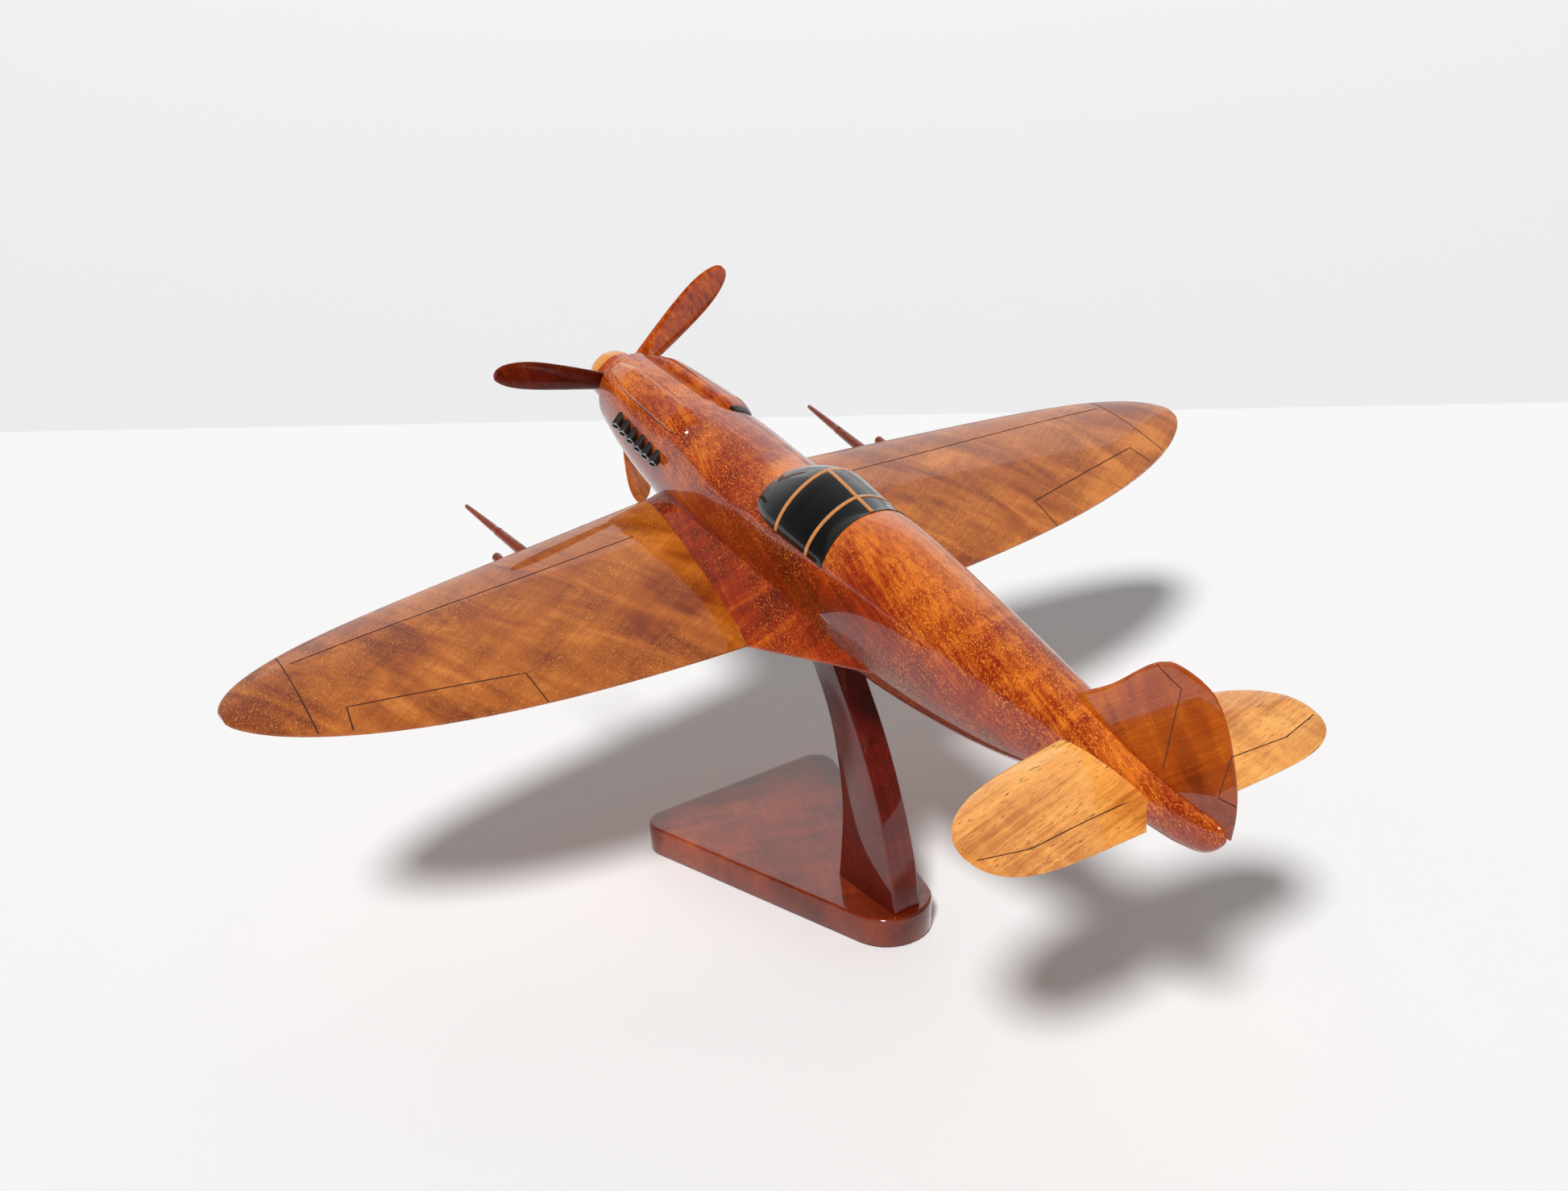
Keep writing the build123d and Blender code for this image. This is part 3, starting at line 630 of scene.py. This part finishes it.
def tailPoint(x, share, side):
    t = x / tail["halfSpan"]
    front, back = tailChord(x)
    if x < tail["notchCorner"][0]:      # the inner corner is cut away for the rudder
        back = min(back, tail["notchCorner"][1] - (tail["notchCorner"][0] - x) * 1.03)
    y = front + share * (back - front)
    thick = tail["thick"] + (tail["tip"] - tail["thick"]) * t
    return np.array([x, y, tail["height"] + side * boardHalf(share, thick) * min(1, (1.001 - t) * 30) ** 0.5])


def tailplane(side, name):
    rings = []
    for x in np.concatenate([np.linspace(2.0, 16.8, 12), [17.3, 17.7], np.linspace(18.5, 66, 40),
                             76.2 - 10.2 * (1 - np.linspace(0, 1, 30)[1:]) ** 1.8]):
        rings.append(loopOf(lambda s, up: tailPoint(x, s, up)) * np.array([side, 1, 1]))
    piece = skin(name, rings, ["tailWood"], 32.0)
    points = []
    for x, y in spread([(9.0, 334.6), (32.0, 334.8), (56.0, 336.0), (75.6, 331.2)], 12):
        front, back = tailChord(x)
        share = min(max((y - front) / (back - front), 0), 1)
        points.append((x * side, y, tailPoint(x, share, 1)[2]))
    return engrave(piece, [points], tail["groove"])


finForm = dict(levels=[(19.0, 284.0, 366.6), (24.0, 287.0, 366.6), (29.0, 292.6, 366.3), (35.0, 299.6, 365.2),
                       (41.0, 305.8, 363.2), (47.0, 310.9, 360.6), (53.0, 315.7, 357.6), (58.5, 320.6, 353.8),
                       (62.5, 325.6, 349.6), (64.7, 330.4, 345.2), (65.4, 334.6, 341.2)], thick=4.8,
               top=2.0, groove=0.24)


def finPiece():
    f = finForm
    foot, head = f["levels"][0][0], f["levels"][-1][0]
    rings = []
    for z in np.concatenate([np.linspace(foot, 60, 60), head - 5.6 * (1 - np.linspace(0, 1, 26)[1:]) ** 1.8]):
        front, back = smooth(f["levels"], z)[0]
        share = (z - foot) / (head - foot)
        thick = (f["thick"] + (f["top"] - f["thick"]) * share) * min(1, (head + 0.05 - z) * 0.9) ** 0.5
        rings.append(loopOf(lambda s, up: np.array([up * boardHalf(s, thick), front + s * (back - front),
                                                    z])))
    piece = skin("finBoard", rings, ["finWood"], 32.0)
    lines = [[(323.2, 60.2), (335.6, 58.8), (335.4, 24.2)], [(360.2, 51.0), (358.8, 31.0), (367.0, 32.6)]]
    laid = []
    for line in lines:
        for side in (1, -1):
            points = []
            for y, z in spread(line, 14):
                front, back = smooth(f["levels"], z)[0]
                share = (z - foot) / (head - foot)
                thick = f["thick"] + (f["top"] - f["thick"]) * share
                points.append((side * boardHalf(min(max((y - front) / (back - front), 0), 1), thick), y, z))
            laid.append(points)
    return engrave(piece, laid, f["groove"])


for side, word in ((1, "left"), (-1, "right")):
    settle(tailplane(side, word + "TailplaneBoard"), "aircraft", "tail_wood", word + "_tailplane")
settle(finPiece(), "aircraft", "tail_wood", "fin")
print("tail made")

# Canopy
hood = dict(sill=15.5, fullness=1.7, stripWide=1.6, stripHigh=0.2,
            stations=[(123.0, 15.6, 23.4), (128.0, 18.6, 27.0), (136.5, 21.4, 32.0), (146.0, 22.3, 35.6),
                      (156.0, 22.3, 35.3), (166.0, 22.0, 34.1), (175.0, 21.6, 33.1)],
            frontArch=146.0, rearArch=165.0)


def hoodPoint(y, angle, grow=0.0):
    width, top = smooth(hood["stations"], y)[0]
    x, z = oval(np.array([angle]), width + grow, top - hood["sill"] + grow, 1.0, hood["fullness"])
    if y > hood["frontArch"]:           # the rear panes lie on the body, a hair proud of it
        skinLine = bodySkin(y, np.linspace(0.05, pi / 2, 60))[:, [0, 2]] - np.array([0, hood["sill"]])
        turn, reach = np.arctan2(skinLine[:, 1], skinLine[:, 0]), np.hypot(skinLine[:, 0], skinLine[:, 1])
        here = np.arctan2(z[0], abs(x[0]))
        proud = (float(np.interp(here, turn, reach)) + 0.35 + grow) / max(float(np.hypot(x[0], z[0])), 1e-6)
        if proud > 1:
            x, z = x * proud, z * proud
    return np.array([x[0], y, hood["sill"] + z[0]])


def canopyGlass():
    rings = []
    for y in np.linspace(123.2, 174.8, 60):
        arch = [hoodPoint(y, a) for a in np.linspace(0, pi, 61)]
        under = [(x, y, hood["sill"] - 0.6) for x in np.linspace(arch[-1][0], arch[0][0], 21)[1:-1]]
        rings.append(np.vstack([arch, under]))
    return skin("canopyPanes", rings, ["blackLacquer"], 40.0)


def canopyStrips():
    h = hood
    lines = []
    for y in (h["frontArch"], h["rearArch"]):
        lines.append([hoodPoint(y, a, 0.05) for a in np.linspace(0.02, pi - 0.02, 50)])
    lines.append([hoodPoint(y, pi / 2, 0.05) for y in np.linspace(h["frontArch"], 174.5, 24)])
    return [np.array(line) for line in lines]


def ribbon(name, line, across, materials):      # flat strip with eased edges along a line
    wide, high = hood["stripWide"], hood["stripHigh"]
    run = np.gradient(line, axis=0)
    run /= np.linalg.norm(run, axis=1)[:, None]
    side = np.cross(across, run)
    side = side / np.linalg.norm(side, axis=1)[:, None]
    shape = [(-1, -0.6), (-1, 0.5), (-0.75, 1), (0.75, 1), (1, 0.5), (1, -0.6)]
    rings = [[p + s * wide / 2 * a + u * high * b for a, b in shape] for p, s, u in zip(line, side, across)]
    return skin(name, rings, materials, 50.0)


settle(canopyGlass(), "aircraft", "canopy_black", "canopy")
for index, line in enumerate(canopyStrips()):
    outward = np.stack([line[:, 0] / 22.0, np.zeros(len(line)),
                        np.maximum(line[:, 2] - hood["sill"], 0.5) / 18.0], -1)
    outward /= np.linalg.norm(outward, axis=1)[:, None]
    strip = ribbon(f"canopyStrip{index + 1}", line, outward, ["stripWood"])
    settle(strip, "aircraft", "canopy_black")
print("canopy made")

# Nose
blister = dict(start=8.0, end=73.0, low=radians(40), high=radians(76), height=3.2, shadedEnd=5)


def cowlBlister(side, name):
    b = blister
    rings = []
    for y in np.linspace(b["start"], b["end"], 90):
        share = (y - b["start"]) / (b["end"] - b["start"])
        rise = min(1.0, share / 0.22) ** 0.8 * min(1.0, (1 - share) / 0.16) ** 0.7
        narrow = 0.5 + 0.5 * min(1.0, share / 0.25) ** 0.7
        narrow *= 0.55 + 0.45 * min(1.0, (1 - share) / 0.12) ** 0.5
        middle, half = (b["low"] + b["high"]) / 2, (b["high"] - b["low"]) / 2 * narrow
        ring = []
        for a in np.linspace(0, 2 * pi, 48, endpoint=False):
            across, up = oval(np.array([a]), half, 1.0, 1.0, 3.4)
            lift = up[0] * b["height"] * rise if up[0] > 0 else up[0] * 2.0
            ring.append(bodySkin(y, np.array([middle - across[0]]), lift)[0] * np.array([side, 1, 1]))
        rings.append(ring)
    piece = skin(name, rings, ["bodyWood", "blackLacquer"], 34.0)
    if side < 0:                        # the right one's last rings are painted black: painted shade at its steep rear end
        for face in piece.data.polygons:
            face.material_index = int(face.index >= (len(rings) - 1 - b["shadedEnd"]) * 48)
    return piece


for side, word in ((1, "left"), (-1, "right")):
    settle(cowlBlister(side, word + "CowlBlister"), "aircraft", "body_wood", word + "_cowl_fairing")
print("nose made")

# Exhausts: six open pipes with bright rims in a row on each side
exhaust = dict(count=6, first=31.5, pitch=6.5, outer=4.2, bore=2.8, length=6.0, height=1.0, droop=radians(32),
               rake=radians(20), foot=-1.5, rim=0.5, facets=32)


def ringTree():                         # a short tube or rim, turned onto every point of the base mesh
    tree, given, keys, add = nodeTree("tubeOnPoints", {"Radius": "Float", "Wall": "Float", "Length": "Float",
                                                       "Turn": "Rotation", "Facets": "Int",
                                                       "Material": "Material"})
    loop = add("GeometryNodeCurvePrimitiveCircle", {},
               {"Resolution": given["Facets"], "Radius": given["Radius"]})
    section = add("GeometryNodeCurvePrimitiveQuadrilateral", {}, {0: given["Wall"], 1: given["Length"]})
    tube = add("GeometryNodeCurveToMesh", {}, {0: loop.outputs[0], 1: section.outputs[0]})
    row = add("GeometryNodeInstanceOnPoints", {}, {"Points": given["Geometry"], "Instance": tube.outputs[0],
                                                   "Rotation": given["Turn"]})
    endTree(tree, add, row.outputs[0], given["Material"])
    return tree, keys


ringWay, ringKeys = ringTree()


def exhaustRow(side, name, outer, wall, length, back, look):
    e = exhaust
    out = Vector((cos(e["droop"]) * cos(e["rake"]) * side, sin(e["rake"]), -sin(e["droop"]) * cos(e["rake"])))
    centres = []
    for index in range(e["count"]):
        y = e["first"] + index * e["pitch"]
        mouth = Vector(((bodyAt(y)[0] + e["foot"]) * side + out.x * e["length"], y, e["height"]))
        centres.append(mouth - out * (back + length / 2))
    base = bpy.data.meshes.new("mouths")
    base.from_pydata([tuple(p) for p in placed(centres)], [], [])
    aim = Vector(poise @ np.array(out)).to_track_quat("Z", "Y").to_euler()
    piece = grown(name, base, ringWay, ringKeys,
                  {"Radius": (outer - wall) / 2 * metre, "Wall": wall * metre, "Length": length * metre,
                   "Turn": aim, "Facets": e["facets"], "Material": paint[look]}, [look])
    piece.data.shade_smooth()
    piece.data.set_sharp_from_angle(angle=radians(40))
    return piece


for side, word in ((1, "left"), (-1, "right")):
    e = exhaust
    wall = (e["outer"] - e["bore"]) / 2
    tubes = exhaustRow(side, word + "ExhaustTubes", e["outer"], wall, e["length"] - e["rim"], e["rim"],
                       "exhaustBlack")
    settle(tubes, "aircraft", "black_paint", word + "_exhaust_pipes")
    settle(exhaustRow(side, word + "ExhaustRims", e["outer"], wall, e["rim"], 0, "rimSilver"), "aircraft",
           "black_paint")
print("exhausts made")

# Guns
gun = dict(x=83.0, toe=2.7, drop=1.7, tip=19.5, collar=43.0, root=4.6, atCollar=3.6, ahead=3.2, muzzle=1.8,
           height=-23.4, seat=2.0, stubX=94.0, stubDia=3.8, stubProud=4.0, stubLength=10.0)


def gunAxis(y, side):
    g = gun
    seat = lead(g["x"]) + g["seat"]
    share = (seat - y) / (seat - g["tip"])
    return ((g["x"] + share * g["toe"]) * side, y, g["height"] - share * g["drop"])


def gunBarrel(side, name):
    g = gun
    back = lead(g["x"]) + g["seat"]
    whole = back - g["tip"]
    at = lambda y: (back - y) / whole
    c = g["collar"]
    profile = [(0.0, g["root"] / 2), (at(c + 2.4), g["atCollar"] / 2),
               (at(c + 2.2), g["atCollar"] / 2 - 0.22),
               (at(c + 1.8), g["atCollar"] / 2 - 0.22), (at(c + 1.6), g["atCollar"] / 2),
               (at(c), g["atCollar"] / 2 - 0.05), (at(c - 0.4), g["ahead"] / 2)]
    for k in range(1, 12):
        s = k / 12
        bulge = g["ahead"] / 2 + (g["muzzle"] / 2 - g["ahead"] / 2) * s**1.4
        profile.append((at(c - 0.4 - s * (c - 0.4 - g["tip"] - 0.8)), bulge))
    profile += [(at(g["tip"] + 0.5), g["muzzle"] / 2), (at(g["tip"] + 0.12), g["muzzle"] / 2 - 0.2),
                (1.0, g["muzzle"] / 2 - 0.5)]
    return turnedPiece(name, gunAxis(back, side), gunAxis(g["tip"], side), profile, ["gunWood"], 40)


def gunStub(side, name):
    g = gun
    front = lead(g["stubX"]) - g["stubProud"]
    r = g["stubDia"] / 2
    dome = [((1 - cos(a)) * r * 0.66 / g["stubLength"], sin(a) * r)
            for a in np.linspace(0.12, pi / 2, 10)]
    return turnedPiece(name, (g["stubX"] * side, front, g["height"]),
                       (g["stubX"] * side, front + g["stubLength"], g["height"]), dome + [(1.0, r)],
                       ["gunWood"], 36)


for side, word in ((1, "left"), (-1, "right")):
    settle(gunBarrel(side, word + "GunBarrel"), "aircraft", "gun_wood", word + "_cannon")
    settle(gunStub(side, word + "GunStub"), "aircraft", "gun_wood", word + "_cannon_stub")
print("guns made")

# Propeller
prop = dict(count=3, first=18.5, rootPitch=16.0, tipPitch=12.0, hubRadius=11.0, hubFront=-5.0,
            # the first blade takes the shaded copy of the blade wood: painted shade
            spinner=11.0, fullness=2.3, looks=("shadedBladeWood", "bladeWood", "bladeWood"),
            # radius, chord, thickness
            blade=[(7.5, 8.2, 4.0), (13.0, 9.2, 3.8), (18.5, 10.3, 3.5), (24.0, 11.4, 3.2), (29.5, 12.4, 2.9),
                   (35.0, 13.3, 2.6), (40.5, 14.0, 2.3), (46.0, 14.3, 2.1), (51.0, 14.0, 1.9),
                   (55.5, 12.9, 1.7),
                   (59.0, 11.2, 1.5), (61.8, 9.0, 1.3), (63.8, 6.4, 1.1), (65.2, 2.6, 0.9)])


def turnAboutAxis(points, angle):       # about the propeller axis, right-handed about the nose direction
    points = np.asarray(points, float)
    x, y, z = points[..., 0], points[..., 1], points[..., 2]
    return np.stack([x * cos(angle) - z * sin(angle), y, x * sin(angle) + z * cos(angle)], -1)


def blade(index):
    p = prop
    rings = []
    for r in np.concatenate([np.linspace(7.5, 56, 60),
                             64.95 - 8.95 * (1 - np.linspace(0, 1, 26)[1:]) ** 1.8]):
        chord, thick = smooth(p["blade"], r)[0]
        if r > 63.8:                    # round tip
            chord = 6.3 * ((65.2 - r) / 1.4) ** 0.5
            thick = 1.1 * ((65.2 - r) / 1.4) ** 0.3
        pitch = radians(p["rootPitch"] + (p["tipPitch"] - p["rootPitch"]) * r / p["blade"][-1][0])
        ring = []
        for a in np.linspace(0, 2 * pi, 44, endpoint=False):
            along, off = chord / 2 * cos(a), thick / 2 * abs(sin(a)) ** 0.85 * np.sign(sin(a))
            ring.append((r, along * sin(pitch) + off * cos(pitch), along * cos(pitch) - off * sin(pitch)))
        rings.append(ring)
    angle = radians(p["first"] + index * 360 / p["count"])
    return skin(f"propBlade{index + 1}", turnAboutAxis(rings, angle), [p["looks"][index]], 34.0)


def spinnerCap():
    p = prop
    whole = p["spinner"]
    profile = [(s, p["hubRadius"] * (1 - s ** p["fullness"]) ** (1 / p["fullness"]))
               for s in 1 - (1 - np.linspace(0, 1, 40)[:-1]) ** 1.7]
    return turnedPiece("spinnerDome", (0, p["hubFront"], 0), (0, p["hubFront"] - whole, 0), profile,
                       ["spinnerWood"], 72)


for index in range(prop["count"]):
    settle(blade(index), "propeller", "blade_wood", f"blade_{index + 1}")
settle(spinnerCap(), "propeller", "spinner_wood", "spinner_cap")
print("propeller made")

# Stand
stand = dict(length=129.0, width=93.0, thick=12.5, nose=18.0, corner=9.0, ease=1.0, felt=0.8, postThick=12.5,
             front=[(22.6, 0.0), (24.6, 14.0), (26.4, 36.0), (24.0, 56.4), (18.4, 76.1), (9.8, 91.3),
                    (-5.0, 112.0)],
             back=[(60.4, 0.0), (57.7, 19.5), (51.4, 42.3), (40.6, 68.1), (29.1, 88.1), (14.5, 112.0)])


def asRow(points):                      # stand millimetres to metres
    return np.asarray(points, float) * metre


def plateOutline(inset, steps=14):      # hull of three rounds, counter-clockwise
    s = stand
    front, back, half = -s["length"] / 2, s["length"] / 2, s["width"] / 2
    c, n = s["corner"], s["nose"]
    rounds = [((half - c, front + c), c), ((0, back - n), n), ((c - half, front + c), c)]
    points = []
    for k, (centre, radius) in enumerate(rounds):
        before, after = rounds[k - 1], rounds[(k + 1) % 3]
        starts = tangentAngle(before, (centre, radius))
        ends = tangentAngle((centre, radius), after)
        while ends < starts:
            ends += 2 * pi
        for a in np.linspace(starts, ends, steps):
            points.append((centre[0] + (radius - inset) * cos(a), centre[1] + (radius - inset) * sin(a)))
    return points


def tangentAngle(first, second):        # direction of the outward normal of the outer tangent
    (ax, ay), ra = first
    (bx, by), rb = second
    dx, dy = bx - ax, by - ay
    far = (dx * dx + dy * dy) ** 0.5
    return atan2(dy, dx) - pi / 2 + np.arcsin((ra - rb) / far)


def plate():
    s = stand
    low, high = s["felt"], s["felt"] + s["thick"]
    rings = []
    levels = [(low, 0.5), (low + 0.15, 0.15), (low + 0.5, 0.0), (high - s["ease"], 0.0)]
    levels += [(high - s["ease"] + s["ease"] * sin(a), s["ease"] * (1 - cos(a))) for a in np.linspace(0.25,
        pi / 2, 7)]
    levels.append((high, s["ease"] + 1.5))
    for z, inset in levels:
        rings.append([(x, y, z) for x, y in plateOutline(inset)])
    return skin("standPlate", rings, ["standWood"], 40.0, asRow)


def postRings():
    s = stand
    foot = s["felt"] + s["thick"] + 0.02
    count = 70
    front = smooth([(z, y) for y, z in s["front"]], np.linspace(0, 112, count))
    back = smooth([(z, y) for y, z in s["back"]], np.linspace(0, 112, count))
    half, ease = s["postThick"] / 2, s["ease"]
    rings = []
    for k, z in enumerate(np.linspace(0, 112, count)):
        a, b = front[k][0], back[k][0]
        ring = []
        for cx, cy, start in ((half - ease, b - ease, 0), (ease - half, b - ease, 90),
                              (ease - half, a + ease, 180),
                              (half - ease, a + ease, 270)):
            for q in (0, 22.5, 45, 67.5, 90):
                angle = radians(start + q)
                ring.append((cx + ease * cos(angle), cy + ease * sin(angle), z + foot))
        rings.append(ring)
    return np.array(rings)


def bellyHeight(x, y):                  # height of the belly above a point of the stand, less the seat gap
    best = None
    for station in np.linspace(120, 200, 161):
        width, topz, bottom, middle = bodyAt(station)
        share = min(abs(x) / width, 0.999)
        z = middle - (middle - bottom) * (1 - share ** body["fullness"]) ** (1 / body["fullness"])
        p = placed([[x, station, z]])[0] / metre
        if best is None or abs(p[1] - y) < best[0]:
            best = (abs(p[1] - y), p[2])
    return best[1] - 0.3


def postPiece():                        # the top follows the belly, a hair below it
    rings = postRings()
    for ring in rings:
        ring[:, 2] = [min(p[2], bellyHeight(p[0], p[1])) if p[2] > 80 else p[2] for p in ring]
    return skin("standPost", rings, ["postWood"], 40.0, asRow)


settle(plate(), "stand", "stand_wood", "stand_base")
settle(postPiece(), "stand", "stand_wood", "stand_post")
print("stand made")

# Hardware kept from the frame
kept = {"base_felt": "felt", "post_screws": "steel", "post_pins": "steel", "fin_dowels": "dowelWood",
        "axle_screw": "steel", "axle_washer": "brass", "nose_washer": "brass", "prop_hub": "bladeWood"}
for word in ("left", "right"):
    kept.update({word + "_wing_dowels": "dowelWood", word + "_tail_dowel": "dowelWood",
                 word + "_exhaust_rail": "exhaustBlack", word + "_radiator": "wingWood"})
for node, look in kept.items():
    mesh = nodes[node].data
    mesh.materials.clear()
    mesh.materials.append(paint[look])

# Floor, light and camera
studio = dict(floor=rgb(244, 244, 244), wall=rgb(232, 232, 233), seam=((-173, -519), (-647, -155)),
              ahead=(-0.55, -0.79, 0.10), air=(0.62, 0.62, 0.62, 1), room=(0.08, 0.08, 0.08, 1),
              camera=(0.4437, 0.6489, 0.5124), turn=(63.976, 2.263, 145.244), lens=51.32)


def floorPiece():
    s = Shade("floorWhite")
    where = s.place()
    (x0, y0), (x1, y1) = studio["seam"]
    run = Vector((x1 - x0, y1 - y0, 0)).normalized()
    away = Vector((run.y, -run.x, 0))
    if away.dot(Vector((-1, -1, 0))) < 0:
        away = -away
    far = s.node("ShaderNodeVectorMath", {"operation": "DOT_PRODUCT"}, {0: where, 1: tuple(away)}, 1)
    edge = away.dot(Vector((x0, y0, 0)))
    beyond = (far - edge).over(-1.5, 1.5)
    cloud = s.noise(where, (0.002, 0.002, 0.002), 2.0)
    colour = s.mix(beyond, studio["floor"], studio["wall"])
    colour = s.mix(cloud * 0.04, colour, rgb(210, 212, 216))
    material = s.finish({"Specular IOR Level": 0.15}, {"Base Color": colour, "Roughness": cloud * 0.1 + 0.75})
    mesh = bpy.data.meshes.new("floor")
    size = 6.0
    mesh.from_pydata([(-size, -size, 0), (size, -size, 0), (size, size, 0), (-size, size, 0)], [],
                     [(0, 1, 2, 3)])
    mesh.materials.append(material)
    floor = bpy.data.objects.new("floor", mesh)
    bpy.context.scene.collection.objects.link(floor)


def areaLight(name, place, target, size, power, colour=(1, 1, 1)):
    data = bpy.data.lights.new(name, "AREA")
    data.shape, data.size, data.size_y = "RECTANGLE", size[0], size[1]
    data.energy, data.color = power, colour
    lamp = bpy.data.objects.new(name, data)
    bpy.context.scene.collection.objects.link(lamp)
    lamp.location = place
    lamp.rotation_euler = (Vector(target) - Vector(place)).to_track_quat("-Z", "Y").to_euler()
    return lamp


floorPiece()
middle = Vector((0, 0.02, 0.13))
keyFrom = Vector((0.47, 0.42, 0.78)).normalized()
sun = bpy.data.objects.new("key", bpy.data.lights.new("key", "SUN"))
bpy.context.scene.collection.objects.link(sun)
sun.data.energy, sun.data.angle = 3.05, radians(10)
sun.rotation_euler = keyFrom.to_track_quat("Z", "Y").to_euler()
areaLight("frontPanel", (-1.6, -2.2, 1.5), middle, (2.4, 1.8), 7)


def studioAir():                        # a pale wall ahead of the nose, a dim room behind and above
    world = bpy.data.worlds.new("studio")
    bpy.context.scene.world = world
    world.use_nodes = True
    tree = world.node_tree
    where = tree.nodes.new("ShaderNodeTexCoord")
    ahead = tree.nodes.new("ShaderNodeVectorMath")
    ahead.operation = "DOT_PRODUCT"
    ahead.inputs[1].default_value = studio["ahead"]
    ramp = tree.nodes.new("ShaderNodeValToRGB")
    ramp.color_ramp.elements[0].position, ramp.color_ramp.elements[0].color = 0.0, studio["room"]
    ramp.color_ramp.elements[1].position, ramp.color_ramp.elements[1].color = 0.75, studio["air"]
    tree.links.new(where.outputs["Generated"], ahead.inputs[0])
    tree.links.new(ahead.outputs["Value"], ramp.inputs[0])
    tree.links.new(ramp.outputs[0], tree.nodes["Background"].inputs[0])
    tree.nodes["Background"].inputs[1].default_value = 1.0


studioAir()
bpy.context.scene.view_settings.view_transform = "Standard"

camera = bpy.data.objects.new("camera", bpy.data.cameras.new("camera"))
bpy.context.scene.collection.objects.link(camera)
camera.data.lens, camera.data.sensor_width = studio["lens"], 36.0
camera.location = studio["camera"]
bpy.context.scene.camera = camera
camera.rotation_euler = [radians(v) for v in studio["turn"]]
camera.data.clip_start, camera.data.clip_end = 0.01, 50.0

print("scene ready")
